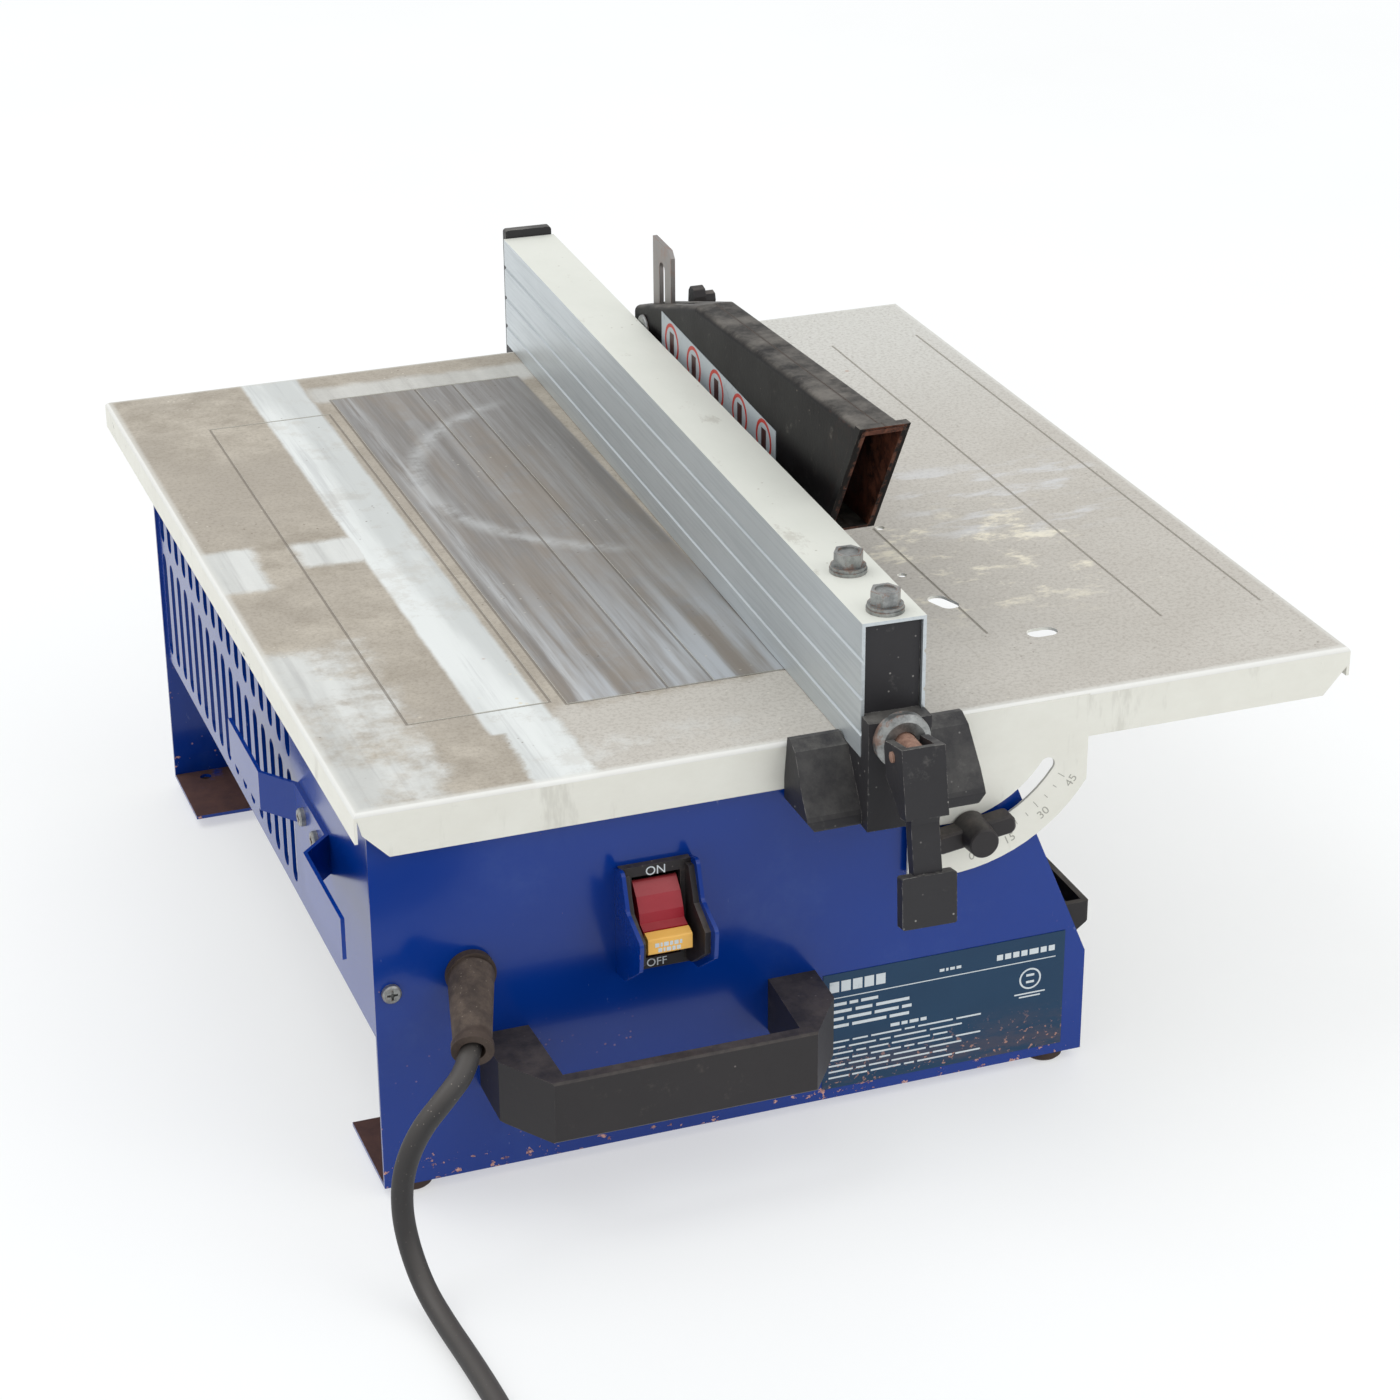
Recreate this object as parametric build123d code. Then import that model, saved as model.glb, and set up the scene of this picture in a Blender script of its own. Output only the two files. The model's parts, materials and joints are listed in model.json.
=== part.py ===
"""Wet tile saw: a folded steel base, a tilting sheet-metal table with a clamped rip fence,
a direct-drive induction motor turning a blade in a water tank, a height-adjustable blade guard
on a riving knife, a paddle switch, a carry handle and a mains lead.

Millimetres, +Z up. The origin is the centre of the four feet on the surface that the saw stands on.
+X is to the operator's right, +Y away from the operator, along the cut."""

from build123d import *
import math
import os

os.makedirs("parts", exist_ok=True)

# ---------------------------------------------------------------- driving dimensions
SHEET = 1.5                     # painted base sheet
FOOT_H = 4.0                    # rubber foot under the base
BASE_W = 283.0                  # base, left to right
BASE_D = 362.0                  # base, front to back
BASE_X = BASE_W / 2
BASE_Y = BASE_D / 2
BASE_Z = FOOT_H                 # underside of the folded base
FOOT_FLANGE = 46.0              # bottom flange folded inwards from each end panel
FOOT_PITCH_X = 258.0
FOOT_PITCH_Y = 346.0
FOOT_HOLE_R = 2.6

TABLE_T = 1.2
TABLE_Z = 161.5                 # working surface above the floor
TABLE_X0, TABLE_X1 = -146.5, 247.2
TABLE_Y0, TABLE_Y1 = -184.6, 255.7
FRONT_FLANGE = 18.8
SIDE_FLANGE = 11.9

BLADE_R = 88.9                  # 7 inch blade
BLADE_T = 2.2
BLADE_X = 80.5                  # blade plane, and the table's tilt axis in that plane
BLADE_Y = 15.4
SPINDLE_Z = 117.6               # leaves the blade 45 mm above the table
ARBOR_R = 7.94                  # 5/8 inch arbor
SHAFT_R = 8.5
RUN_CLEAR = 0.05                # radial clearance of a running fit
GAP = 0.35                      # clearance between pieces that move past each other

QUAD_R = 67.0                   # outer radius of the tilt quadrants
SLOT_R = 48.4                   # centre line of their arc slots
SLOT_HALF = 3.0
STUD_R = 2.75
STUD_ANGLE = -81.0              # clamp stud, degrees round the tilt axis from +X
GUIDE_ANGLE = -100.0            # fixed guide pin in the same slot
SLOT_END_ANGLE = -35.0          # upper end of the slot: 45 degrees of tilt, and a little over
REAR_QUAD_Y = BASE_Y + 1.2

FENCE_L = 471.0
FENCE_W = 24.5
FENCE_H = 52.0
FENCE_WALL = 1.3
FENCE_YAW = 1.7                 # degrees: the fence is clamped a little out of square
FENCE_X = 47.05                 # centre of the fence's front end
FENCE_Y = -206.3
FENCE_Z0 = TABLE_Z + 0.3
ROD_Z = TABLE_Z + 9.5
ROD_R = 4.0
LEVER_PIN_V = -21.2             # lever pin, in front of the fence's front end
LEVER_PIN_R = 2.0

GUARD_HALF = 9.2
GUARD_WALL = 1.8
GUARD_BOLT_Y = 128.2
GUARD_BOLT_Z = 211.0
GUARD_BOLT_R = 3.0
KNIFE_Y0, KNIFE_Y1 = 116.7, 139.7
KNIFE_T = 2.0
KNIFE_TOP = 248.0
KNIFE_SLOT_HALF = 3.5

MOTOR_R = 40.0
MOTOR_X0, MOTOR_X1 = -70.0, 49.5
WALL_X = 61.5                   # splash wall between the motor bay and the wet side

CORD_D = 8.0
CORD_R = CORD_D / 2
COIL_X, COIL_Y = -90.0, -438.0  # centre of the coil of spare lead
COIL_MEAN_R = 46.0
COIL_TURN_HALF = 10.0           # half the width of the bundle of turns
COIL_H = 24.5


# ---------------------------------------------------------------- helpers
def box(x0, x1, y0, y1, z0, z1):
    """A block between two corners."""
    centre = Pos((x0 + x1) / 2, (y0 + y1) / 2, (z0 + z1) / 2)
    return centre * Box(x1 - x0, y1 - y0, z1 - z0)


def rod(start, end, radius):
    """A round bar from start to end."""
    start, end = Vector(*start), Vector(*end)
    plane = Plane(origin=start, z_dir=end - start)
    return extrude(plane * Circle(radius), (end - start).length)


def hex_bar(start, end, across_flats):
    """A hexagonal bar from start to end."""
    start, end = Vector(*start), Vector(*end)
    plane = Plane(origin=start, z_dir=end - start)
    return extrude(plane * RegularPolygon(across_flats / math.sqrt(3), 6), (end - start).length)


def ring(start, end, outer, inner):
    """A tube or washer from start to end."""
    return rod(start, end, outer) - rod(start, end, inner)


def prism_x(points, x0, x1):
    """A (y, z) outline pushed along X."""
    plane = Plane(origin=(x0, 0, 0), x_dir=(0, 1, 0), z_dir=(1, 0, 0))
    return extrude(plane * make_face(Polyline(*points, close=True)), x1 - x0)


def prism_y(points, y0, y1):
    """An (x, z) outline pushed along Y."""
    plane = Plane(origin=(0, y0, 0), x_dir=(1, 0, 0), z_dir=(0, -1, 0))
    return extrude(plane * make_face(Polyline(*points, close=True)), y0 - y1)


def prism_z(points, z0, z1):
    """An (x, y) outline pushed along Z."""
    plane = Plane(origin=(0, 0, z0))
    return extrude(plane * make_face(Polyline(*points, close=True)), z1 - z0)


def polar(radius, degrees):
    """A point in the plane of the tilt quadrants, round the tilt axis."""
    turn = math.radians(degrees)
    return BLADE_X + radius * math.cos(turn), TABLE_Z + radius * math.sin(turn)


def fence_frame(shape):
    """Places a piece drawn in the fence's own axes: x across, y along from its front end."""
    return Pos(FENCE_X, FENCE_Y, 0) * Rot(0, 0, -FENCE_YAW) * shape


def save(name, *solids):
    """Writes one node, as one solid or as a group of separate solids."""
    shape = solids[0] if len(solids) == 1 else Compound(children=list(solids))
    export_step(shape, f"parts/{name}.step")




def screw(seat, towards, length, head_r=3.6, head_h=2.2, shank_r=1.9):
    """A cross-recess pan head screw; seat is the middle of the face its head bears on."""
    seat, towards = Vector(*seat), Vector(*towards)
    head = rod(seat, seat - towards * head_h, head_r)
    head = chamfer(head.faces().sort_by(Axis(seat, towards * -1))[-1].edges(), 0.6)
    recess = rod(seat - towards * (head_h - 1.0), seat - towards * (head_h + 1), 0.9)
    for sideways in cross_axes(towards):
        recess += slab(seat - towards * (head_h - 0.5), towards, sideways, 4.0, 0.9, 2.0)
    return head - recess + rod(seat, seat + towards * length, shank_r)


def cross_axes(direction):
    """Two directions at right angles to each other and to the one given."""
    flat = Plane(origin=(0, 0, 0), z_dir=direction)
    return flat.x_dir, flat.y_dir


def slab(centre, normal, along, length, width, depth):
    """A small block centred on a point, long one way."""
    return Plane(origin=centre, x_dir=along, z_dir=normal) * Box(length, width, depth)


def clearance_hole(seat, towards, length, shank_r=1.9):
    """The hole that a screw of the same place and direction passes through."""
    seat, towards = Vector(*seat), Vector(*towards)
    return rod(seat, seat + towards * length, shank_r + 0.1)


# ---------------------------------------------------------------- where the screws go
PANEL_SCREWS = [(-135.4, side * BASE_Y, 86.0) for side in (-1, 1)]
HANDLE_SCREWS = [(x, -BASE_Y + SHEET, 51.0) for x in (-94.0, 19.0)]
WRAP_SCREWS = [(-141.8, y, 111.75) for y in (-105.0, -85.0)]
MOTOR_SCREWS = [(WALL_X + SHEET, BLADE_Y + 32 * math.cos(math.radians(a)),
                 SPINDLE_Z + 32 * math.sin(math.radians(a))) for a in (45, 135, 225, 315)]
KNIFE_SCREWS = [(BLADE_X + KNIFE_T / 2, y, 110.0) for y in (122.0, 134.0)]
BRACKET_SCREWS = [(WALL_X, y, 121.0) for y in (117.0, 139.0)]
CLIP_SCREWS = [(-5.0, y, 7.0) for y in (139.0, 176.4)]
GUARD_SCREWS = [(BLADE_X + GUARD_HALF, y, z) for y, z in ((-62.0, 236.0), (48.0, 231.5))]
FEET = [(x, y) for x in (-FOOT_PITCH_X / 2, FOOT_PITCH_X / 2)
        for y in (-FOOT_PITCH_Y / 2, FOOT_PITCH_Y / 2)]
STUD = polar(SLOT_R, STUD_ANGLE)
GUIDE = polar(SLOT_R, GUIDE_ANGLE)


# ---------------------------------------------------------------- base
PANEL_OUTLINE = [(-BASE_X, BASE_Z), (BASE_X, BASE_Z), (BASE_X, 48), (109.7, 124.5), (106.6, 132),
                 (82, 156), (-BASE_X, 156)]
CHEEK = [(-179.5, 119.9), (-189.4, 123.1), (-194.7, 108.6), (-209.7, 103.4), (-208.2, 91.6),
         (-191.2, 79), (-179.5, 76.9)]
SWITCH_X0, SWITCH_X1 = -50.6, -20.5
HOUSING_X0, HOUSING_X1 = -46.5, -24.6
RELIEF_X, RELIEF_Z = -106.0, 88.6


def foot_holes(z0, z1):
    """The four holes that line up through the feet and the flanges above them."""
    cutter = None
    for x, y in FEET:
        hole = rod((x, y, z0), (x, y, z1), FOOT_HOLE_R)
        cutter = hole if cutter is None else cutter + hole
    return cutter


def end_panel(side):
    """One end of the base: an upright sheet with its foot flange folded inwards."""
    outer, inner = side * BASE_Y, side * (BASE_Y - SHEET)
    panel = prism_y(PANEL_OUTLINE, min(outer, inner), max(outer, inner))
    flange_y = side * (BASE_Y - FOOT_FLANGE)
    panel += box(-BASE_X, BASE_X, min(flange_y, outer), max(flange_y, outer), BASE_Z, BASE_Z + SHEET)
    panel -= foot_holes(BASE_Z - 1, BASE_Z + SHEET + 1)
    for seat in PANEL_SCREWS:
        if seat[1] * side > 0:
            panel -= clearance_hole(seat, (0, -side, 0), 3)
    for x, z in (STUD, GUIDE):
        panel -= rod((x, side * 170, z), (x, side * 190, z), STUD_R + 0.1)
    return panel


def front_panel():
    panel = end_panel(-1)
    for x0 in (SWITCH_X0, SWITCH_X1 - SHEET):
        cheek = prism_x(CHEEK, x0, x0 + SHEET)
        rounded = cheek.edges().filter_by(Axis.X).sort_by(Axis.Y)[:6]
        panel += fillet(rounded, 2.5)
    panel -= box(HOUSING_X0 - 0.1, HOUSING_X1 + 0.1, -190, -170, 79.9, 119.1)
    panel -= rod((RELIEF_X, -190, RELIEF_Z), (RELIEF_X, -170, RELIEF_Z), 6.1)
    for seat in HANDLE_SCREWS:
        panel -= clearance_hole(seat, (0, -1, 0), 3)
    return panel


def rear_panel():
    return end_panel(1) - capacitor_clip_holes()


def capacitor_clip_holes():
    cutter = None
    for x, y, _ in CLIP_SCREWS:
        hole = rod((x, y, BASE_Z - 1), (x, y, 8), 2.0)
        cutter = hole if cutter is None else cutter + hole
    return cutter


VENT_X = -140.3                 # outer face of the louvred left panel
VENT_PITCH = 14.25
VENT_Y0 = -57.2
VENT_COLUMNS = 17


def left_vent_panel():
    inner_x = VENT_X + SHEET
    panel = box(VENT_X, inner_x, -BASE_Y + SHEET, BASE_Y - SHEET, 65, 159)
    panel += box(VENT_X, -126, -BASE_Y + SHEET, BASE_Y - SHEET, 159 - SHEET, 159)
    for side in (-1, 1):
        outer = side * (BASE_Y - SHEET)
        tab = outer - side * SHEET
        panel += box(VENT_X, -127, min(outer, tab), max(outer, tab), 70, 150)
    for seat in PANEL_SCREWS:
        panel -= clearance_hole(seat, (0, -math.copysign(1, seat[1]), 0), 5)
    for seat in WRAP_SCREWS:
        panel -= clearance_hole(seat, (1, 0, 0), 5)
    slots = []
    for column in range(VENT_COLUMNS):
        y = VENT_Y0 + column * VENT_PITCH
        for z0, z1 in ((70, 118.5), (124.5, 153)):
            slot = box(VENT_X - 1, inner_x + 1, y - 3.75, y + 3.75, z0 + 3.7, z1 - 3.7)
            slot += rod((VENT_X - 1, y, z0 + 3.75), (inner_x + 1, y, z0 + 3.75), 3.75)
            slot += rod((VENT_X - 1, y, z1 - 3.75), (inner_x + 1, y, z1 - 3.75), 3.75)
            slots.append(slot)
    return panel - slots


def cord_wrap():
    """A strip bent into two wings that the lead is wound on."""
    outer = [(-152.5, -181.8), (-152.5, -128.4), (-141.8, -117.4), (-141.8, -72.4),
             (-152.5, -57.9), (-152.5, -7)]
    inner = [(-151, -7), (-151, -57.4), (VENT_X, -71.9), (VENT_X, -118), (-151, -129), (-151, -181.8)]
    strip = prism_z(outer + inner, 103.5, 120)
    for seat in WRAP_SCREWS:
        strip -= clearance_hole(seat, (1, 0, 0), 5)
    return strip


def splash_wall():
    """The wall between the motor bay and the wet side, with a ledge for the tank."""
    wall = box(WALL_X, WALL_X + SHEET, -179.5, 179.5, 5.5, 152)
    wall += box(WALL_X, 78, -179.5, 179.5, 5.5, 7)
    wall -= rod((50, BLADE_Y, SPINDLE_Z), (70, BLADE_Y, SPINDLE_Z), 12)
    for seat in MOTOR_SCREWS:
        wall -= clearance_hole(seat, (-1, 0, 0), 5)
    for seat in BRACKET_SCREWS:
        wall -= clearance_hole(seat, (1, 0, 0), 5)
    return wall


def right_rail():
    return box(121.5, BASE_X, -179.5, 179.5, 5.5, 7) - foot_holes(5, 8)


def rubber_feet():
    feet = []
    for x, y in FEET:
        foot = rod((x, y, 0), (x, y, FOOT_H), 7.5) - rod((x, y, -1), (x, y, FOOT_H + 1), FOOT_HOLE_R)
        feet.append(chamfer(foot.faces().sort_by(Axis.Z)[0].edges().sort_by(Edge.length)[-1:], 1.0))
    return feet


def pan_screws():
    screws = [screw(seat, (0, -math.copysign(1, seat[1]), 0), 7) for seat in PANEL_SCREWS]
    screws += [screw(seat, (0, -1, 0), 13) for seat in HANDLE_SCREWS]
    screws += [screw(seat, (1, 0, 0), 5) for seat in WRAP_SCREWS]
    screws += [screw(seat, (-1, 0, 0), 6) for seat in MOTOR_SCREWS]
    screws += [screw(seat, (-1, 0, 0), 6) for seat in KNIFE_SCREWS]
    screws += [screw(seat, (1, 0, 0), 5) for seat in BRACKET_SCREWS]
    screws += [screw(seat, (0, 0, -1), 3, head_r=2.6) for seat in CLIP_SCREWS]
    return screws


# ---------------------------------------------------------------- table and its tilt
def quadrant(y0, y1, top):
    """A tilt quadrant: a sector of sheet round the tilt axis, with an arc slot in it."""
    plate = rod((BLADE_X, y0, TABLE_Z), (BLADE_X, y1, TABLE_Z), QUAD_R)
    plate &= box(64, 136.7, y0, y1, 60, top)
    return plate - arc_slot(y0 - 1, y1 + 1)


def arc_slot(y0, y1):
    outer, inner = SLOT_R + SLOT_HALF, SLOT_R - SLOT_HALF
    start, end = GUIDE_ANGLE, SLOT_END_ANGLE
    cutter = ring((BLADE_X, y0, TABLE_Z), (BLADE_X, y1, TABLE_Z), outer, inner)
    wedge = [(BLADE_X, TABLE_Z), polar(120, start), polar(120, (start + end) / 2), polar(120, end)]
    cutter &= prism_y(wedge, y0, y1)
    for angle in (start, end):
        x, z = polar(SLOT_R, angle)
        cutter += rod((x, y0, z), (x, y1, z), SLOT_HALF)
    return cutter


def table_top():
    y0, y1 = TABLE_Y0, TABLE_Y1
    under = TABLE_Z - TABLE_T
    low = TABLE_Z - FRONT_FLANGE
    top = box(TABLE_X0, TABLE_X1, y0, y1, under, TABLE_Z)
    flange = [(-143.7, 152.5), (-134.2, low), (236.5, low), (246.4, 154), (246.4, under + 0.5),
              (-145.8, under + 0.5)]
    for y in (y0, y1 - TABLE_T):
        top += prism_y(flange, y, y + TABLE_T)
    for x in (TABLE_X0, TABLE_X1 - TABLE_T):
        top += box(x, x + TABLE_T, y0, y1, TABLE_Z - SIDE_FLANGE, TABLE_Z)
    top = fillet(top.edges().group_by(Axis.Z)[-1], 2.2)
    top += quadrant(y0, y0 + TABLE_T, under)
    top -= box(75.5, 85.5, -72.6, 153.4, 150, 170)
    top -= slot_z(118.9, -89.6, 14.5, 8, 110)
    top -= slot_z(142.9, -129.7, 12.5, 8)
    for x, y in ((125.5, -10.0), (114.5, -59.0)):
        top -= rod((x, y, 150), (x, y, 170), 2.0)
    return top - [pressed_line(*line) for line in PRESSED_LINES]


PRESSED_LINES = [(-109.5, -122, -109.5, 203), (-54.5, -122, -54.5, 203), (-109.5, -122, -54.5, -122),
                 (-109.5, 203, -54.5, 203), (-49.5, -126, -49.5, 221), (-9.5, -126, -9.5, 221),
                 (8.5, -126, 8.5, 221), (-49.5, -126, 40, -126), (-49.5, 221, 40, 221),
                 (122.5, -123, 122.5, -10), (193, -132, 193, 207), (236.5, -132, 236.5, 207)]


def pressed_line(x0, y0, x1, y1):
    """A shallow groove pressed into the table's top."""
    half = 0.6
    return box(min(x0, x1) - half, max(x0, x1) + half, min(y0, y1) - half, max(y0, y1) + half,
               TABLE_Z - 0.3, TABLE_Z + 1)


def slot_z(x, y, length, width, turn=0):
    """A slot cutter with round ends through the table top; turn is from the X axis."""
    outline = Pos(x, y, 150) * Rot(0, 0, turn) * SlotOverall(length, width)
    return extrude(outline, 20)


def rear_quadrant():
    """The rear quadrant hangs from a flange under the table."""
    under = TABLE_Z - TABLE_T
    y0, y1 = REAR_QUAD_Y, REAR_QUAD_Y + TABLE_T
    return quadrant(y0, y1, under) + box(64, 136.7, y0, y0 + 16, under - TABLE_T, under)


def tilt_studs():
    """Clamp studs with a hexagon head inside each end panel and a spacer collar outside."""
    studs = []
    x, z = STUD
    for side in (-1, 1):
        seat = side * (BASE_Y - SHEET)
        plate = TABLE_Y0 + TABLE_T if side < 0 else REAR_QUAD_Y
        stud = hex_bar((x, seat, z), (x, seat - side * 3, z), 8.0)
        stud += rod((x, seat, z), (x, plate + side * 12.5, z), STUD_R)
        stud += rod((x, side * BASE_Y, z), (x, plate - side * GAP, z), 4.6)
        studs.append(stud)
    return studs


def tilt_guide_pins():
    """Plain pins that keep each arc slot centred on the tilt axis."""
    pins = []
    x, z = GUIDE
    for side in (-1, 1):
        plate = TABLE_Y0 if side < 0 else REAR_QUAD_Y + TABLE_T
        pins.append(rod((x, side * (BASE_Y - SHEET), z), (x, plate + side * 0.2, z), STUD_R))
    return pins


def tilt_knob(side):
    """A moulded wing knob on a clamp stud."""
    x, z = STUD
    plate = TABLE_Y0 if side < 0 else REAR_QUAD_Y + TABLE_T
    start, end = plate + side * GAP, plate + side * 15.6
    flare = Plane(origin=(x, start, z), z_dir=(0, side, 0)) * Circle(6.9)
    boss = loft([flare, Plane(origin=(x, end, z), z_dir=(0, side, 0)) * Circle(5.8)])
    boss = chamfer(boss.edges().filter_by(GeomType.CIRCLE), 0.5)
    wing_y0, wing_y1 = sorted((plate + side * 1.2, plate + side * 8.4))
    wing = box(x - 16.2, x + 16.2, wing_y0, wing_y1, z - 3.8, z + 3.8)
    wing = fillet(wing.edges().filter_by(Axis.Y), 2.8)
    wing = chamfer(wing.faces().sort_by(Axis.Y)[0 if side < 0 else -1].edges(), 0.8)
    turn = Pos(x, 0, z) * Rot(0, -8, 0) * Pos(-x, 0, -z)
    knob = boss + turn * wing
    stud_end = (TABLE_Y0 + TABLE_T if side < 0 else REAR_QUAD_Y) + side * 12.5
    return knob - rod((x, start - side, z), (x, stud_end + side * 0.5, z), STUD_R + RUN_CLEAR)


def table_rest_pads():
    return [box(-139, -129, y - 8, y + 8, 159, 160.2) for y in (-150.0, 0.0, 150.0)]


# ---------------------------------------------------------------- rip fence, in its own axes
FENCE_BOLTS = (9.2, 46.2)        # along the fence from its front end


def fence_extrusion():
    """An inverted U with three grooves down each side."""
    half = FENCE_W / 2
    top = FENCE_Z0 + FENCE_H
    body = box(-half, half, 0, FENCE_L, FENCE_Z0, top)
    body -= box(-half + FENCE_WALL, half - FENCE_WALL, -1, FENCE_L + 1, FENCE_Z0 - 1, top - FENCE_WALL)
    for depth in (14.0, 28.9, 42.9):
        z = top - depth
        for side in (-1, 1):
            groove = [(side * (half + 0.1), z + 1.4), (side * (half - 0.7), z + 0.5),
                      (side * (half - 0.7), z - 0.5), (side * (half + 0.1), z - 1.0)]
            body -= prism_y(groove, -1, FENCE_L + 1)
    for v in FENCE_BOLTS:
        body -= rod((0, v, top - 5), (0, v, top + 5), 3.3)
    return fence_frame(body)


HEAD_BACK = TABLE_Y0 - GAP      # the head stands this far in front of the table's flange
WING_PROFILE = [(HEAD_BACK, 163.5), (-187.6, 163.8), (-193, 161), (-207, 141.3), (-208, 139.5),
                (-208, 135.3), (HEAD_BACK, 135.3)]


BOSS_FRONT = -7.5
WASHER_FRONT = -12.3


def fence_head():
    """The casting that carries the fence: wings over the table's flange, a boss, a block inside."""
    wings = prism_x(WING_PROFILE, 14, 84)
    wings = fillet(wings.edges().filter_by(Axis.X).sort_by(Axis.Y)[:2], 1.2)
    ends = [(10, 170), (15.5, 170), (13.5, 140), (18, 134), (10, 130)]
    wings -= prism_y(ends, -210, -180)
    wings -= prism_y([(98 - x, z) for x, z in ends], -210, -180)
    boss = fence_frame(box(-12, 12, BOSS_FRONT, 24, 135, 178))
    boss &= box(0, 120, -230, HEAD_BACK, 100, 200)
    block = fence_frame(box(-10.5, 10.5, -1, 58, FENCE_Z0 + 0.4, FENCE_Z0 + FENCE_H - FENCE_WALL))
    block -= fence_frame(box(-20, 20, -10, 1.5, 178, 230))
    head = wings + boss - fence_frame(box(-12.7, 12.7, -GAP, 40, FENCE_Z0 - GAP, 230)) + block
    head -= fence_frame(rod((0, -20, ROD_Z), (0, 70, ROD_Z), ROD_R + RUN_CLEAR))
    for v in FENCE_BOLTS:
        head -= fence_frame(rod((0, v, 185), (0, v, 220), 3.05))
    return head


def fence_bolts():
    bolts = []
    seat = FENCE_Z0 + FENCE_H + 1.4
    for v in FENCE_BOLTS:
        bolt = rod((0, v, seat), (0, v, seat + 1.3), 6.6)
        crown = hex_bar((0, v, seat), (0, v, seat + 6.6), 10.0)
        crown -= rod((0, v, seat + 5.9), (0, v, seat + 8), 3.9)
        bolt += crown + rod((0, v, seat), (0, v, seat - 24), 3.0)
        bolts.append(fence_frame(bolt))
    return bolts


def fence_washers():
    z = FENCE_Z0 + FENCE_H
    return [fence_frame(ring((0, v, z), (0, v, z + 1.4), 7.0, 3.3)) for v in FENCE_BOLTS]


def clamp_washer():
    washer = ring((0, BOSS_FRONT, ROD_Z), (0, WASHER_FRONT, ROD_Z), 10.5, ROD_R + 0.35)
    rim = washer.edges().filter_by(GeomType.CIRCLE).sort_by(Axis.Y)[:2].sort_by(Edge.length)[-1]
    return fence_frame(chamfer(rim, 1.5, 2.5))


ROD_FRONT = LEVER_PIN_V - 2.9
ROD_REAR = FENCE_L + 15


def clamp_rod():
    bar = rod((0, ROD_FRONT, ROD_Z), (0, ROD_REAR, ROD_Z), ROD_R)
    bar = chamfer(bar.edges().filter_by(GeomType.CIRCLE), 0.7)
    bar -= rod((-10, LEVER_PIN_V, ROD_Z), (10, LEVER_PIN_V, ROD_Z), LEVER_PIN_R + 0.02)
    return fence_frame(bar)


YOKE_HALF = 8.2
CHEEK_T = 3.0
CAM_REACH = 8.6                 # pin to cam face when clamped
CAM_DROP = 1.7                  # how much the cam falls in a quarter turn
LEVER_TILT = 12.0               # degrees: the clamped lever stands this far out from upright


def lever_pin():
    return fence_frame(rod((-YOKE_HALF - 0.7, LEVER_PIN_V, ROD_Z), (YOKE_HALF + 0.7, LEVER_PIN_V, ROD_Z),
                           LEVER_PIN_R))


def cam_lever():
    """A die-cast lever, drawn upright about its pin and then tilted: cam yoke, stem and thumb pad."""
    cam = []
    for step in range(6):
        angle = math.radians(LEVER_TILT + 15 * step)
        reach = CAM_REACH - CAM_DROP * step / 6
        cam.append((reach * math.cos(angle), reach * math.sin(angle)))
    outline = cam + [(-9.3, 6), (-9.3, -21.5), (-4, -21.5), (8.2, -9)]
    yoke = prism_x(outline, -YOKE_HALF, YOKE_HALF) & box(-20, 20, -20, 20, -40, 4.4)
    hollow = YOKE_HALF - CHEEK_T
    yoke -= box(-hollow, hollow, -6.3, 20, -17.5, 20)
    stem = prism_x([(-9.0, -18.5), (-4, -18.5), (-1.5, -22), (-1.5, -46), (-6.6, -46), (-6.6, -24)], -5.4, 5.4)
    pad = prism_x([(-8.2, -42.5), (-3, -42.5), (-0.2, -62.5), (-5.4, -62.5)], -10.4, 10.4)
    pad = fillet(pad.edges().filter_by(Axis.Y, tolerance=12), 0.9)
    lever = yoke + stem + pad
    lever -= rod((-10, 0, 0), (10, 0, 0), LEVER_PIN_R + RUN_CLEAR)
    return fence_frame(Pos(0, LEVER_PIN_V, ROD_Z) * Rot(-LEVER_TILT, 0, 0) * lever)


def rear_jaw():
    """The jaw that hooks behind the table's rear flange."""
    plate, back = FENCE_L + 0.4, FENCE_L + 4.8
    outline = [(463.4, 161.2), (plate, 161.2), (plate, 217.6), (back, 217.6), (back, 146), (467.4, 146),
               (463.4, 150)]
    jaw = prism_x(outline, -11.25, 11.25)
    jaw = fillet(jaw.edges().filter_by(Axis.Y).sort_by(Axis.Z)[-2:], 1.5)
    jaw -= rod((0, 450, ROD_Z), (0, 500, ROD_Z), ROD_R + 0.02)
    return fence_frame(jaw)


def jaw_nut():
    start, end = FENCE_L + 4.8, FENCE_L + 11.3
    nut = hex_bar((0, start, ROD_Z), (0, end, ROD_Z), 13.0)
    return fence_frame(nut - rod((0, start - 1, ROD_Z), (0, end + 1, ROD_Z), ROD_R + 0.02))


# ---------------------------------------------------------------- knife and guard
def riving_knife():
    x0, x1 = BLADE_X - KNIFE_T / 2, BLADE_X + KNIFE_T / 2
    knife = prism_x([(KNIFE_Y0, 100), (KNIFE_Y1, 100), (KNIFE_Y1, KNIFE_TOP + 1), (KNIFE_Y0 + 3, KNIFE_TOP),
                     (KNIFE_Y0, KNIFE_TOP - 3)], x0, x1)
    middle = (KNIFE_Y0 + KNIFE_Y1) / 2
    for z in (200, 236.5):
        knife -= rod((x0 - 1, middle, z), (x1 + 1, middle, z), KNIFE_SLOT_HALF)
    knife -= box(x0 - 1, x1 + 1, middle - KNIFE_SLOT_HALF, middle + KNIFE_SLOT_HALF, 200, 236.5)
    for seat in KNIFE_SCREWS:
        knife -= clearance_hole(seat, (-1, 0, 0), 5)
    return knife


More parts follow.
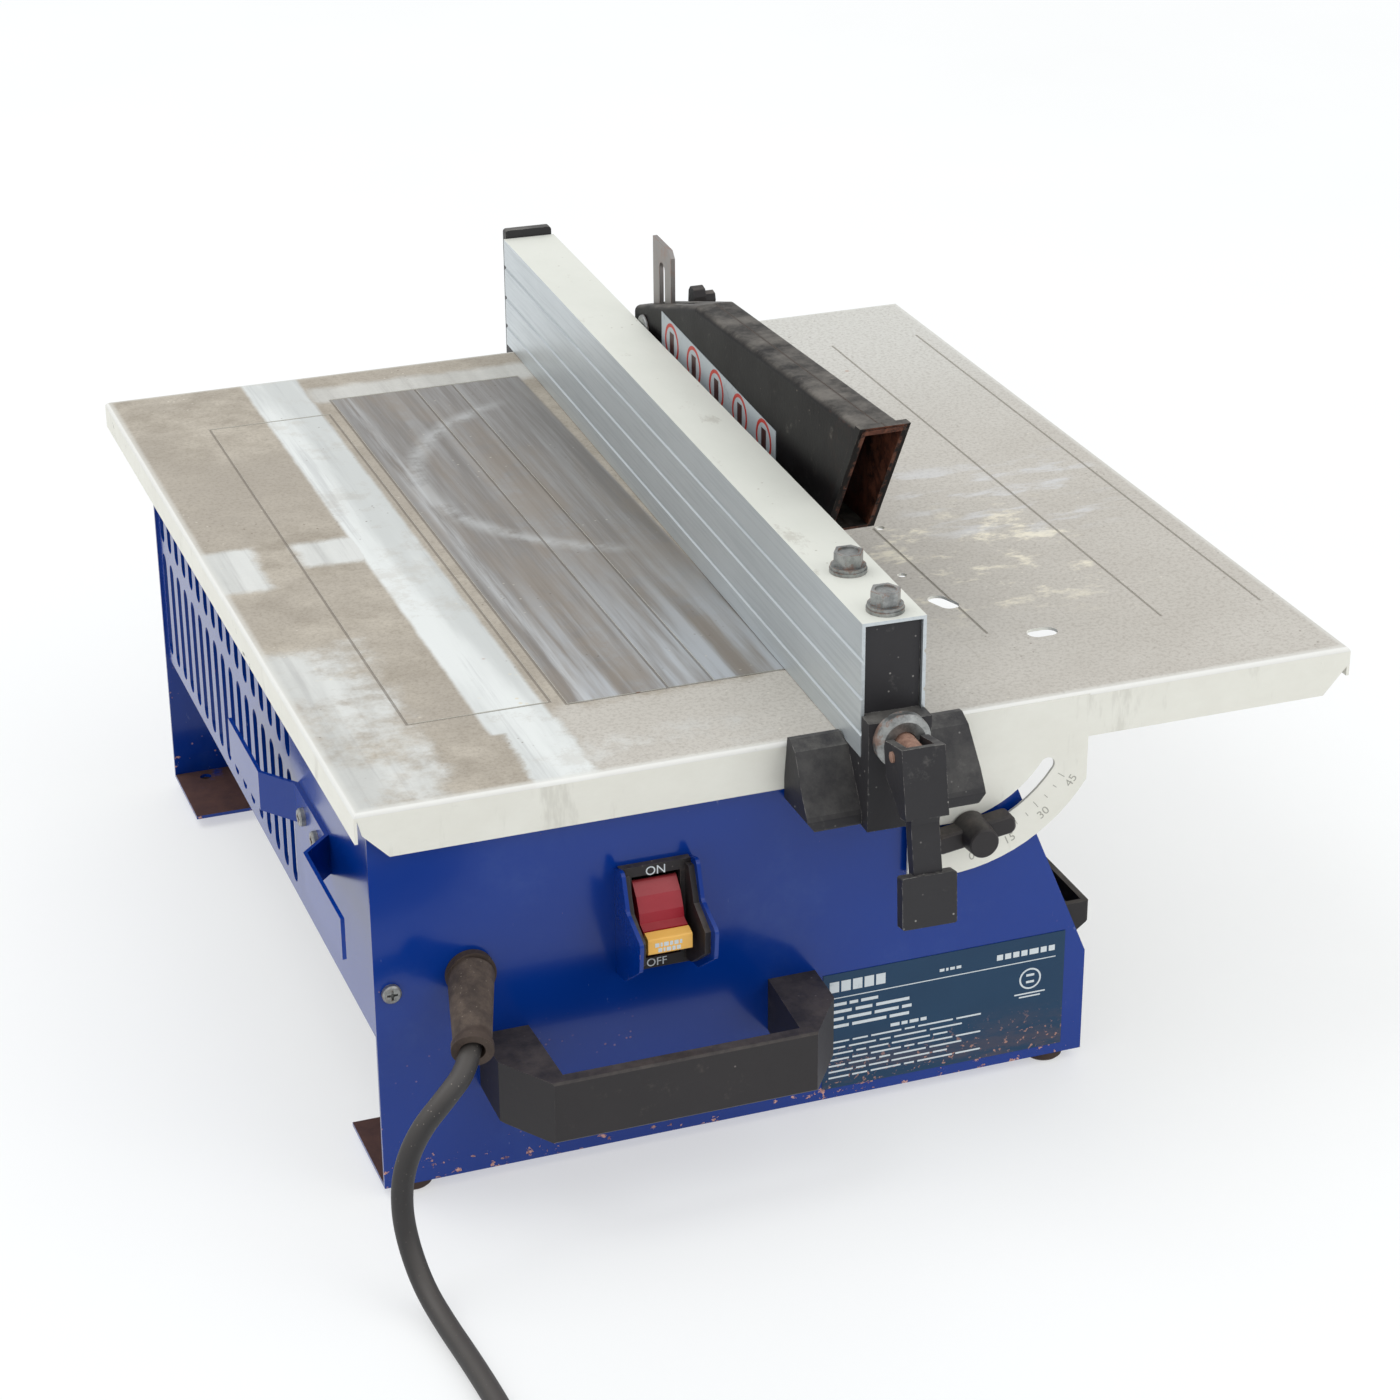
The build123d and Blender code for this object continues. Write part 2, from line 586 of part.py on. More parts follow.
def knife_bracket():
    """A Z bracket that holds the knife in the plane of the blade, behind it."""
    wall, knife = WALL_X + SHEET, BLADE_X - KNIFE_T / 2
    bracket = box(wall, wall + 2.5, 110, 146, 98, 130)
    bracket += box(wall, knife, 110, 146, 98, 100.5)
    bracket += box(knife - 2.5, knife, 110, 146, 98, 122)
    for seat in KNIFE_SCREWS:
        bracket -= clearance_hole(seat, (-1, 0, 0), 7)
    for seat in BRACKET_SCREWS:
        bracket -= clearance_hole(seat, (1, 0, 0), 7)
    return bracket


GUARD_SIDE = [(-117.6, 249.5), (64.4, 241.3), (141.4, 217.4), (141.4, 200), (-77, 195), (-84, 197.4)]


def guard_body():
    """The whole guard: a hood, open below, with a rim round its slanting mouth."""
    hood = prism_x(GUARD_SIDE, BLADE_X - GUARD_HALF, BLADE_X + GUARD_HALF)
    hood = soften_roof(hood)
    rim_half = GUARD_HALF + 1.1
    rim = prism_x([(-117.9, 250.6), (-113.2, 250.5), (-79.5, 193.9), (-84.5, 196.2)],
                  BLADE_X - rim_half, BLADE_X + rim_half)
    hood += fillet(rim.edges().filter_by(Axis.X).sort_by(Axis.Z)[:2], 0.8)
    hollow_x0, hollow_x1 = BLADE_X - GUARD_HALF + GUARD_WALL, BLADE_X + GUARD_HALF - GUARD_WALL
    hollow = [(-135, 247.9), (64.2, 239.4), (139.6, 216), (139.6, 180), (-50, 180), (-50, 197.5),
              (-135, 197.5)]
    hood -= prism_x(hollow, hollow_x0, hollow_x1)
    for _, y, z in GUARD_SCREWS:
        hood += rod((hollow_x0 - 0.5, y, z), (hollow_x1 + 0.5, y, z), 3.2)
        hood -= rod((hollow_x0 + 1, y, z), (hollow_x1 + 5, y, z), 1.6)
    hood -= box(BLADE_X - 1.45, BLADE_X + 1.45, 86, 150, 190, 260)
    hood -= rod((60, GUARD_BOLT_Y, GUARD_BOLT_Z), (100, GUARD_BOLT_Y, GUARD_BOLT_Z),
                GUARD_BOLT_R + RUN_CLEAR)
    return hood


def soften_roof(hood):
    """Rounds the long top edges of the hood."""
    roof = [edge for edge in hood.edges() if edge.center().Z > 225 and abs(edge.center().X - BLADE_X) > 5
            and edge.length > 60]
    return fillet(roof, 2.6)


def guard_shell(side):
    """One half of the guard, split at the plane of the blade."""
    seam = 0.05
    if side < 0:
        half = box(60, BLADE_X - seam, -140, 160, 180, 260)
    else:
        half = box(BLADE_X + seam, 100, -140, 160, 180, 260)
    return guard_body() & half


def guard_shell_screws():
    return [screw(seat, (-1, 0, 0), 13, head_r=2.8, head_h=1.6, shank_r=1.5) for seat in GUARD_SCREWS]


def guard_bolt():
    """A low round head on the fence side, a plain shank through shells and knife."""
    y, z = GUARD_BOLT_Y, GUARD_BOLT_Z
    head = rod((69.6, y, z), (71.0, y, z), 6.0)
    head = fillet(head.edges().filter_by(GeomType.CIRCLE).sort_by(Axis.X)[:1], 1.0)
    return head + rod((71.0, y, z), (98.5, y, z), GUARD_BOLT_R)


def guard_wing_nut():
    """A moulded wing nut with a broad base wing and a narrower grip outside it."""
    y, z = GUARD_BOLT_Y, GUARD_BOLT_Z
    start = BLADE_X + GUARD_HALF + GAP
    nut = rod((start, y, z), (start + 11, y, z), 6.2)
    base = prism_x([(-2.6, 2), (2.6, 2), (3.8, 14.5), (2, 17.4), (-2, 17.4), (-3.8, 14.5)],
                   start + 2, start + 7.5)
    grip = prism_x([(-2.2, 2), (2.2, 2), (3, 12), (1.6, 14.4), (-1.6, 14.4), (-3, 12)], start + 7.5, start + 12.5)
    wing = base + grip
    wing = fillet(wing.edges().filter_by(Axis.X).sort_by(Axis.Z)[-4:], 0.8)
    for turn in (12, 192):
        nut += Pos(0, y, z) * Rot(turn, 0, 0) * wing
    return nut - rod((start - 1, y, z), (start + 10, y, z), GUARD_BOLT_R + RUN_CLEAR)


def guard_label():
    """A thin strip on the guard's left face."""
    x = BLADE_X - GUARD_HALF
    return prism_x([(105.4, 226), (-29.6, 218.5), (-29.6, 201), (105.4, 206)], x - 0.25, x)


# ---------------------------------------------------------------- blade, spindle and motor
def on_axis(x):
    return (x, BLADE_Y, SPINDLE_Z)


BLADE_RIM = 7.0
FLANGE_R = 19.0


def blade():
    """A continuous-rim diamond blade: a thin core and a thicker rim."""
    core = rod(on_axis(BLADE_X - 0.8), on_axis(BLADE_X + 0.8), BLADE_R - BLADE_RIM)
    rim = ring(on_axis(BLADE_X - BLADE_T / 2), on_axis(BLADE_X + BLADE_T / 2), BLADE_R,
               BLADE_R - BLADE_RIM)
    disc = core + rim - rod(on_axis(70), on_axis(90), ARBOR_R)
    for step in range(8):
        angle = math.radians(45 * step)
        y, z = BLADE_Y + 60 * math.cos(angle), SPINDLE_Z + 60 * math.sin(angle)
        disc -= rod((70, y, z), (90, y, z), 3)
    return disc


def inner_flange():
    face = BLADE_X - 0.8
    flange = rod(on_axis(face - 5), on_axis(face), FLANGE_R) + rod(on_axis(70), on_axis(face - 5), 12)
    return flange - rod(on_axis(60), on_axis(90), ARBOR_R)


def outer_flange():
    face = BLADE_X + 0.8
    flange = rod(on_axis(face), on_axis(face + 5), FLANGE_R)
    flange = chamfer(flange.edges().sort_by(Axis.X)[-1:], 1.5)
    return flange - rod(on_axis(70), on_axis(100), ARBOR_R)


def arbor_nut():
    start, end = BLADE_X + 5.8, BLADE_X + 14.8
    return hex_bar(on_axis(start), on_axis(end), 24.0) - rod(on_axis(70), on_axis(110), ARBOR_R)


def arbor_shaft():
    shaft = rod(on_axis(-80), on_axis(70), SHAFT_R) + rod(on_axis(70), on_axis(100), ARBOR_R)
    return chamfer(shaft.edges().sort_by(Axis.X)[-1:], 1.0)


def rotor_core():
    """Laminations with end rings, pressed on the shaft."""
    core = rod(on_axis(-30), on_axis(22), 22.0)
    core += ring(on_axis(-34), on_axis(26), 20.5, 14)
    return core - rod(on_axis(-40), on_axis(40), SHAFT_R)


def stator_core():
    core = ring(on_axis(-30), on_axis(22), MOTOR_R - 2.55, 22.5)
    for step in range(12):
        angle = math.radians(30 * step)
        y, z = BLADE_Y + 28 * math.cos(angle), SPINDLE_Z + 28 * math.sin(angle)
        core -= rod((-40, y, z), (40, y, z), 3.2)
    return core


def stator_winding():
    """Twelve coil legs in the slots, joined by a ring of end turns on each side."""
    winding = ring(on_axis(22), on_axis(32), 35.5, 24) + ring(on_axis(-40), on_axis(-30), 35.5, 24)
    for step in range(12):
        angle = math.radians(30 * step)
        y, z = BLADE_Y + 28 * math.cos(angle), SPINDLE_Z + 28 * math.sin(angle)
        winding += rod((-31, y, z), (23, y, z), 3.1)
    return winding


def motor_housing():
    return ring(on_axis(MOTOR_X0), on_axis(MOTOR_X1), MOTOR_R, MOTOR_R - 2.5)


def end_cap(open_x, closed_x):
    """A cup with a bearing seat; open_x faces the motor."""
    way = math.copysign(1, closed_x - open_x)
    cap = rod(on_axis(open_x), on_axis(closed_x), MOTOR_R)
    cap -= ring(on_axis(open_x - way), on_axis(closed_x - way * 5), MOTOR_R - 3, 18)
    cap -= rod(on_axis(open_x - way), on_axis(closed_x - way * 3), 14)
    return cap - rod(on_axis(open_x), on_axis(closed_x + way), 10)


def drive_end_cap():
    cap = end_cap(MOTOR_X1, WALL_X)
    for seat in MOTOR_SCREWS:
        cap -= clearance_hole(seat, (-1, 0, 0), 7)
    return cap


def fan_end_cap():
    return end_cap(MOTOR_X0, MOTOR_X0 - 12)


def motor_bearings():
    rings = []
    for x in (MOTOR_X1 + 0.5, MOTOR_X0 - 8.5):
        rings.append(ring(on_axis(x), on_axis(x + 8), 13.95, SHAFT_R + RUN_CLEAR))
    return rings


def cooling_fan():
    fan = rod(on_axis(-62), on_axis(-50), 13) + rod(on_axis(-62), on_axis(-60.5), 32)
    for step in range(9):
        blade_box = box(-61, -50, -1, 1, 11, 32)
        fan += Pos(0, BLADE_Y, SPINDLE_Z) * Rot(40 * step, 0, 0) * blade_box
    return fan - rod(on_axis(-70), on_axis(-40), SHAFT_R)


CAPACITOR_Y, CAPACITOR_R = 158.0, 14.0
CAPACITOR_Z = BASE_Z + SHEET + CAPACITOR_R


def run_capacitor():
    can = rod((-40, CAPACITOR_Y, CAPACITOR_Z), (30, CAPACITOR_Y, CAPACITOR_Z), CAPACITOR_R)
    can = fillet(can.edges().filter_by(GeomType.CIRCLE), 1.5)
    for offset in (-5, 5):
        can += box(-47, -39, CAPACITOR_Y + offset - 3, CAPACITOR_Y + offset + 3, 19, 20)
    return can


def capacitor_clip():
    floor = BASE_Z + SHEET
    y, z = CAPACITOR_Y, CAPACITOR_Z
    clip = rod((-11, y, z), (1, y, z), CAPACITOR_R + 1.6)
    clip += box(-11, 1, y - CAPACITOR_R - 1.6, y + CAPACITOR_R + 1.6, floor, z)
    clip -= rod((-12, y, z), (2, y, z), CAPACITOR_R + 0.1)
    clip -= box(-12, 2, y - CAPACITOR_R - 0.1, y + CAPACITOR_R + 0.1, floor - 1, z)
    clip &= box(-20, 20, 100, 200, floor, 60)
    clip += box(-11, 1, y - 22.5, y - CAPACITOR_R - 0.1, floor, floor + 1.5)
    clip += box(-11, 1, y + CAPACITOR_R + 0.1, y + 21.3, floor, floor + 1.5)
    return clip - capacitor_clip_holes()


# ---------------------------------------------------------------- switch, label, handle
PADDLE_X0, PADDLE_X1 = -44.0, -27.0
PIVOT_Y, PIVOT_Z = -179.0, 99.5
CAVITY_X0, CAVITY_X1 = -44.9, -26.1


def switch_housing():
    """The black bezel between the cheeks, its side ribs and the body behind the panel."""
    bezel = box(SWITCH_X0 + SHEET, SWITCH_X1 - SHEET, -184, -BASE_Y, 78, 121)
    rib = [(-182, 119), (-187.5, 119.6), (-193, 107), (-205, 101), (-204.5, 92), (-190, 81), (-182, 79)]
    for x0 in (SWITCH_X0 + SHEET, SWITCH_X1 - SHEET - 2.2):
        bezel += prism_x(rib, x0, x0 + 2.2)
    housing = bezel + box(HOUSING_X0, HOUSING_X1, -181.5, -148, 80, 119)
    housing -= box(CAVITY_X0, CAVITY_X1, -190, -150, 82.5, 117)
    return housing - rod((-46, PIVOT_Y, PIVOT_Z), (-25, PIVOT_Y, PIVOT_Z), 1.5 + RUN_CLEAR)


def switch_paddle():
    """The red rocker, hollow for the tongue of its key."""
    outline = [(-181.5, 114.8), (-186.6, 110), (-189.6, 104.5), (-190.4, 100.8), (-194, 99.6),
               (-194, 91.2), (-186, 86.2), (-178, 86), (-173, 92), (-172, 99.5), (-174, 108)]
    paddle = prism_x(outline, PADDLE_X0, PADDLE_X1)
    paddle = fillet(paddle.edges().filter_by(Axis.X).sort_by(Axis.Z)[-1:], 1.5)
    paddle += rod((CAVITY_X0 - 0.8, PIVOT_Y, PIVOT_Z), (CAVITY_X1 + 0.8, PIVOT_Y, PIVOT_Z), 1.5)
    return paddle - box(-41, -30, -195, -181.5, 93.8, 97.5)


def safety_key():
    key = prism_x([(-194.4, 99.9), (-199.2, 98.6), (-199.2, 92.4), (-194.4, 91.6)], PADDLE_X0, PADDLE_X1)
    key = fillet(key.edges().filter_by(Axis.X), 0.8)
    return key + box(-40.6, -30.4, -195, -182, 94.2, 97.1)


def rating_label():
    return box(31.8, 132.6, -BASE_Y - 0.3, -BASE_Y, 8.4, 58.6)


def carry_handle():
    outer = [(-103.5, -181), (-102.6, -202), (-88.4, -223.6), (12.5, -223.6), (27.6, -202), (28.5, -181)]
    inner = [(9.5, -181), (7.5, -217.5), (-83.5, -217.5), (-84.5, -181)]
    handle = prism_z(outer + inner, 37, 62)
    long_edges = [edge for edge in handle.edges() if edge.length > 88]
    handle = chamfer(long_edges, 0.8)
    handle -= prism_x([(-170, 41.5), (-205, 36.9), (-205, 30), (-170, 30)], -110, 35)
    for seat in HANDLE_SCREWS:
        handle -= clearance_hole(seat, (0, -1, 0), 13.5)
    return handle


# ---------------------------------------------------------------- mains lead
RELIEF_END = (-116.0, -217.0, 78.0)


def strain_relief():
    """A tapered boot with a collar on the panel and a lip at its free end."""
    start, end = Vector(RELIEF_X, -182.5, RELIEF_Z), Vector(*RELIEF_END)
    along = (end - start).normalized()
    sleeve = loft([Plane(origin=start, z_dir=along) * Circle(8.6),
                   Plane(origin=end, z_dir=along) * Circle(6.8)])
    boot = sleeve + rod(end - along * 3, end, 7.7)
    boot += rod((RELIEF_X, -184.2, RELIEF_Z), (RELIEF_X, -BASE_Y, RELIEF_Z), 9.3)
    boot -= box(-130, -80, -BASE_Y, -150, 60, 110)
    boot += rod((RELIEF_X, -182, RELIEF_Z), (RELIEF_X, -BASE_Y + SHEET, RELIEF_Z), 6.0)
    boot += rod((RELIEF_X, -BASE_Y + SHEET, RELIEF_Z), (RELIEF_X, -BASE_Y + 4, RELIEF_Z), 8.0)
    boot -= rod(end - along * 9, end + along * 5, CORD_R + 0.6)
    return boot


CORD_ROUTE = [(-113.6, -209.5, 79.6), (-119, -221.5, 74.5), (-129.5, -228.5, 68.5), (-140.5, -231.5, 59),
              (-147.5, -234, 46), (-149.6, -237, 32.5), (-148.8, -242.5, 19.5), (-146.8, -253.5, 9),
              (-144.2, -270, 4.6), (-141.8, -293, 4), (-140, -322, 4), (-139.5, -362, 4),
              (-140.2, -420, 4)]


def corner_radii(points):
    """The largest arc that each corner's two runs allow."""
    radii = []
    for before, corner, after in zip(points, points[1:], points[2:]):
        arriving, leaving = Vector(*corner) - Vector(*before), Vector(*after) - Vector(*corner)
        turn = math.radians(arriving.get_angle(leaving))
        radii.append(0.45 * min(arriving.length, leaving.length) / math.tan(turn / 2))
    return radii


def power_cord():
    radii = corner_radii(CORD_ROUTE)
    path = FilletPolyline(*CORD_ROUTE, radius=radii)
    start = Vector(*CORD_ROUTE[1]) - Vector(*CORD_ROUTE[0])
    tube = sweep(Plane(origin=CORD_ROUTE[0], z_dir=start) * Circle(CORD_R), path=path)
    share = tube.volume / (math.pi * CORD_R ** 2 * path.length)
    print("lead: bend radii", [round(radius) for radius in radii])
    print("lead: length", round(path.length), "share", round(share, 4))
    return tube


def cord_coil():
    """The outer shape of the coil of spare lead."""
    centre = (COIL_X, COIL_Y)
    return ring((*centre, 0), (*centre, COIL_H), COIL_MEAN_R + COIL_TURN_HALF, COIL_MEAN_R - COIL_TURN_HALF)


PLUG_X0, PLUG_X1 = -104.0, -66.0
PLUG_Y = COIL_Y - COIL_MEAN_R


def plug_body():
    """A moulded three-pin plug lying on the coil."""
    plug = box(PLUG_X0 + 10, PLUG_X1, PLUG_Y - 12, PLUG_Y + 12, COIL_H, COIL_H + 18)
    plug = fillet(plug.edges().filter_by(Axis.X), 4)
    neck = loft([Plane(origin=(PLUG_X0, PLUG_Y, COIL_H + 9), z_dir=(1, 0, 0)) * Circle(6),
                 Plane(origin=(PLUG_X0 + 12, PLUG_Y, COIL_H + 9), z_dir=(1, 0, 0)) * Circle(8.5)])
    return plug + neck


def plug_prongs():
    z = COIL_H + 9
    prongs = []
    for side in (-1, 1):
        y = PLUG_Y + side * 6.35
        prongs.append(box(PLUG_X1, PLUG_X1 + 17, y - 0.75, y + 0.75, z - 0.2, z + 6.1))
    prongs.append(rod((PLUG_X1, PLUG_Y, z - 4.6), (PLUG_X1 + 20, PLUG_Y, z - 4.6), 2.4))
    return prongs


# ---------------------------------------------------------------- water
TANK_Y0, TANK_Y1 = -159.6, 160.4
TANK_OUTER = [(66, 7), (130, 7), (130, 30), (153.5, 48), (153.5, 56.5), (66, 56.5)]
TANK_HOLLOW = [(68.5, 9.5), (127.5, 9.5), (127.5, 31.2), (151, 49.2), (151, 60), (68.5, 60)]
DRAIN_Y, DRAIN_Z, DRAIN_R = -60.0, 16.0, 5.0


def water_tank():
    tank = prism_y(TANK_OUTER, TANK_Y0, TANK_Y1)
    tank -= prism_y(TANK_HOLLOW, TANK_Y0 + 2.5, TANK_Y1 - 2.5)
    corners = tank.edges().filter_by(Axis.Z).group_by(Axis.X)[-1]
    tank = fillet(corners, 1.2)
    return tank - rod((120, DRAIN_Y, DRAIN_Z), (140, DRAIN_Y, DRAIN_Z), DRAIN_R + RUN_CLEAR)


def drain_plug():
    plug = rod((126, DRAIN_Y, DRAIN_Z), (131, DRAIN_Y, DRAIN_Z), DRAIN_R)
    plug += rod((130.35, DRAIN_Y, DRAIN_Z), (133, DRAIN_Y, DRAIN_Z), 7.5)
    return plug + box(133, 139, DRAIN_Y - 1.5, DRAIN_Y + 1.5, DRAIN_Z - 5, DRAIN_Z + 5)


# ---------------------------------------------------------------- write every node
save("front_panel", front_panel())
save("rear_panel", rear_panel())
save("left_vent_panel", left_vent_panel())
save("cord_wrap", cord_wrap())
save("splash_wall", splash_wall())
save("right_rail", right_rail())
save("rubber_feet", *rubber_feet())
save("pan_screws", *pan_screws())
save("table_top", table_top())
save("rear_quadrant", rear_quadrant())
save("tilt_studs", *tilt_studs())
save("tilt_guide_pins", *tilt_guide_pins())
save("front_tilt_knob", tilt_knob(-1))
save("rear_tilt_knob", tilt_knob(1))
save("table_rest_pads", *table_rest_pads())
save("fence_extrusion", fence_extrusion())
save("fence_head", fence_head())
save("fence_bolts", *fence_bolts())
save("fence_washers", *fence_washers())
save("clamp_washer", clamp_washer())
save("clamp_rod", clamp_rod())
save("cam_lever", cam_lever())
save("lever_pin", lever_pin())
save("rear_jaw", rear_jaw())
save("jaw_nut", jaw_nut())
save("riving_knife", riving_knife())
save("knife_bracket", knife_bracket())
save("guard_left_shell", guard_shell(-1))
save("guard_right_shell", guard_shell(1))
save("guard_shell_screws", *guard_shell_screws())
save("guard_bolt", guard_bolt())
save("guard_wing_nut", guard_wing_nut())
save("guard_label", guard_label())
save("blade", blade())
save("inner_flange", inner_flange())
save("outer_flange", outer_flange())
save("arbor_nut", arbor_nut())
save("arbor_shaft", arbor_shaft())
save("rotor_core", rotor_core())
save("stator_core", stator_core())
save("stator_winding", stator_winding())
save("motor_housing", motor_housing())
save("drive_end_cap", drive_end_cap())
save("fan_end_cap", fan_end_cap())
save("motor_bearings", *motor_bearings())
save("cooling_fan", cooling_fan())
save("run_capacitor", run_capacitor())
save("capacitor_clip", capacitor_clip())
save("switch_housing", switch_housing())
save("switch_paddle", switch_paddle())
save("safety_key", safety_key())
save("rating_label", rating_label())
save("carry_handle", carry_handle())
save("strain_relief", strain_relief())
save("power_cord", power_cord())
save("cord_coil", cord_coil())
save("plug_body", plug_body())
save("plug_prongs", *plug_prongs())
save("water_tank", water_tank())
save("drain_plug", drain_plug())
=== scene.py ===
"""Looks for the wet tile saw: camera, mains lead, materials, printed marks, floor and light.
Everything is in metres in the CAD's own frame: +X right, +Y away from the operator, +Z up."""

import json
import math

import bpy
from mathutils import Matrix, Vector


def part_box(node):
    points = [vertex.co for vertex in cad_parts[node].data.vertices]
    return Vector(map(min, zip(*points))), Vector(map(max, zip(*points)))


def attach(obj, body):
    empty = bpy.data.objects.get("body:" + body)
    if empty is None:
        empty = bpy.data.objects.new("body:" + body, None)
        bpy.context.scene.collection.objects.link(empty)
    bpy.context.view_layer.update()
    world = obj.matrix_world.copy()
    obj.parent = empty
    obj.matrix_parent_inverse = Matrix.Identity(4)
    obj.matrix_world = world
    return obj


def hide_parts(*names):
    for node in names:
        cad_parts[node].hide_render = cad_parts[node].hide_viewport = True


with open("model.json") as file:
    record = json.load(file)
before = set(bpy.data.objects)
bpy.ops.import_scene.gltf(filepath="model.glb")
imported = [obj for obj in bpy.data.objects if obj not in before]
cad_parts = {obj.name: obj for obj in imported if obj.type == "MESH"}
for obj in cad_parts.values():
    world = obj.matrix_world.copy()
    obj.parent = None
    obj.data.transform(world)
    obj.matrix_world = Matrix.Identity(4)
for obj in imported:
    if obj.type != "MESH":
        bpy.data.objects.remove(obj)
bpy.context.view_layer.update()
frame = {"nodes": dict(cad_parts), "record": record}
NODES = frame["nodes"]

MM = 0.001
TABLE_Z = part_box("fence_extrusion")[0].z - 0.3 * MM
BLADE_X = sum(corner.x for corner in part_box("blade")) / 2


# ---------------------------------------------------------------- camera
CAMERA_PLACE = Vector((-0.3891, -1.2002, 0.6961))
CAMERA_AZIMUTH = math.radians(-20.06)
CAMERA_ELEVATION = math.radians(25.35)
CAMERA_ROLL = math.radians(-0.35)
CAMERA_LENS = 86.55             # mm, on a 36 mm sensor
SENSOR_WIDTH = 36.0


def add_camera():
    data = bpy.data.cameras.new("camera")
    data.lens = CAMERA_LENS
    data.sensor_width = SENSOR_WIDTH
    data.dof.use_dof = False
    camera = bpy.data.objects.new("camera", data)
    bpy.context.scene.collection.objects.link(camera)
    turn = Matrix.Rotation(CAMERA_AZIMUTH, 4, "Z") @ Matrix.Rotation(math.pi / 2 - CAMERA_ELEVATION, 4, "X")
    camera.matrix_world = Matrix.Translation(CAMERA_PLACE) @ turn @ Matrix.Rotation(CAMERA_ROLL, 4, "Z")
    bpy.context.scene.camera = camera


add_camera()


# ---------------------------------------------------------------- node helpers
class Shader:
    """A Principled material and short ways to add nodes to it."""

    def __init__(self, name):
        self.material = bpy.data.materials.new(name)
        self.material.use_nodes = True
        self.tree = self.material.node_tree
        self.tree.nodes.clear()
        output = self.tree.nodes.new("ShaderNodeOutputMaterial")
        self.bsdf = self.tree.nodes.new("ShaderNodeBsdfPrincipled")
        self.tree.links.new(self.bsdf.outputs["BSDF"], output.inputs["Surface"])
        coordinates = self.node("ShaderNodeTexCoord")
        self.place = coordinates.outputs["Object"]
        split = self.node("ShaderNodeSeparateXYZ", {"Vector": self.place})
        self.x, self.y, self.z = split.outputs
        self.lean = self.node("ShaderNodeSeparateXYZ", {"Vector": coordinates.outputs["Normal"]}).outputs[2]
        self.normal = self.node("ShaderNodeNewGeometry").outputs["Normal"]

    def node(self, kind, inputs=None, **settings):
        made = self.tree.nodes.new(kind)
        for key, value in settings.items():
            setattr(made, key, value)
        for key, value in (inputs or {}).items():
            self.feed(made.inputs[key], value)
        return made

    def feed(self, socket, value):
        if isinstance(value, bpy.types.NodeSocket):
            self.tree.links.new(value, socket)
        else:
            socket.default_value = value

    def set(self, **values):
        """Sets the Principled shader's sockets; underscores stand for spaces."""
        for key, value in values.items():
            self.feed(self.bsdf.inputs[key.replace("_", " ")], value)

    def math(self, operation, a, b=0.0, c=0.0):
        made = self.node("ShaderNodeMath", operation=operation)
        for socket, value in zip(made.inputs, (a, b, c)):
            self.feed(socket, value)
        return made.outputs[0]

    def noise(self, scale, detail=4.0, roughness=0.55, stretch=(1, 1, 1), shift=0.0, distortion=0.0):
        mapping = self.node("ShaderNodeMapping", {"Vector": self.place, "Scale": stretch,
                                                  "Location": (shift, shift * 0.7, shift * 1.3)})
        made = self.node("ShaderNodeTexNoise", {"Vector": mapping.outputs[0], "Scale": scale,
                                                "Detail": detail, "Roughness": roughness,
                                                "Distortion": distortion})
        return made.outputs["Fac"]

    def cells(self, scale, stretch=(1, 1, 1), shift=0.0):
        mapping = self.node("ShaderNodeMapping", {"Vector": self.place, "Scale": stretch,
                                                  "Location": (shift, shift, shift)})
        made = self.node("ShaderNodeTexVoronoi", {"Vector": mapping.outputs[0], "Scale": scale})
        return made.outputs["Distance"]

    def step(self, value, low, high):
        """0 below low, 1 above high, smooth between; low may be the larger."""
        made = self.node("ShaderNodeMapRange", {"Value": value, "From Min": low, "From Max": high},
                         interpolation_type="SMOOTHSTEP")
        return made.outputs["Result"]

    def band(self, value, low, high, soft):
        """1 between low and high, fading over soft."""
        return self.math("MULTIPLY", self.step(value, low - soft, low + soft),
                         self.step(value, high + soft, high - soft))

    def patch(self, x0, x1, y0, y1, soft=0.001, wobble=None):
        """A soft-edged rectangle seen from above; wobble shifts its edges."""
        x, y = self.x, self.y
        if wobble is not None:
            x = self.math("ADD", x, wobble)
            y = self.math("ADD", y, wobble)
        return self.math("MULTIPLY", self.band(x, x0, x1, soft), self.band(y, y0, y1, soft))

    def mix(self, amount, a, b):
        made = self.node("ShaderNodeMix", data_type="RGBA")
        self.feed(made.inputs[0], amount)
        self.feed(made.inputs[6], a)
        self.feed(made.inputs[7], b)
        return made.outputs[2]

    def blend(self, amount, a, b):
        made = self.node("ShaderNodeMix", data_type="FLOAT")
        self.feed(made.inputs[0], amount)
        self.feed(made.inputs[2], a)
        self.feed(made.inputs[3], b)
        return made.outputs[0]

    def bump(self, height, depth, strength=1.0, below=None):
        inputs = {"Height": height, "Distance": depth, "Strength": strength}
        if below is not None:
            inputs["Normal"] = below
        return self.node("ShaderNodeBump", inputs).outputs[0]

    def facing_up(self, low=0.3, high=0.9):
        """1 on faces that look up when the piece is at rest."""
        return self.step(self.lean, low, high)

    def edges(self, radius, low=0.02, high=0.25):
        """1 near sharp edges, from how far a rounded normal leans off the face's own."""
        rounded = self.node("ShaderNodeBevel", {"Radius": radius}, samples=6)
        dot = self.node("ShaderNodeVectorMath", {0: rounded.outputs[0], 1: self.normal},
                        operation="DOT_PRODUCT")
        return self.step(self.math("SUBTRACT", 1.0, dot.outputs["Value"]), low, high)


def srgb(red, green, blue):
    """Linear colour from 0-255 display values."""
    def linear(value):
        value /= 255
        return value / 12.92 if value <= 0.04045 else ((value + 0.055) / 1.055) ** 2.4
    return (linear(red), linear(green), linear(blue), 1.0)


# ---------------------------------------------------------------- materials
DUST = srgb(172, 163, 150)
RUSTED = (srgb(212, 164, 154), srgb(140, 92, 88))


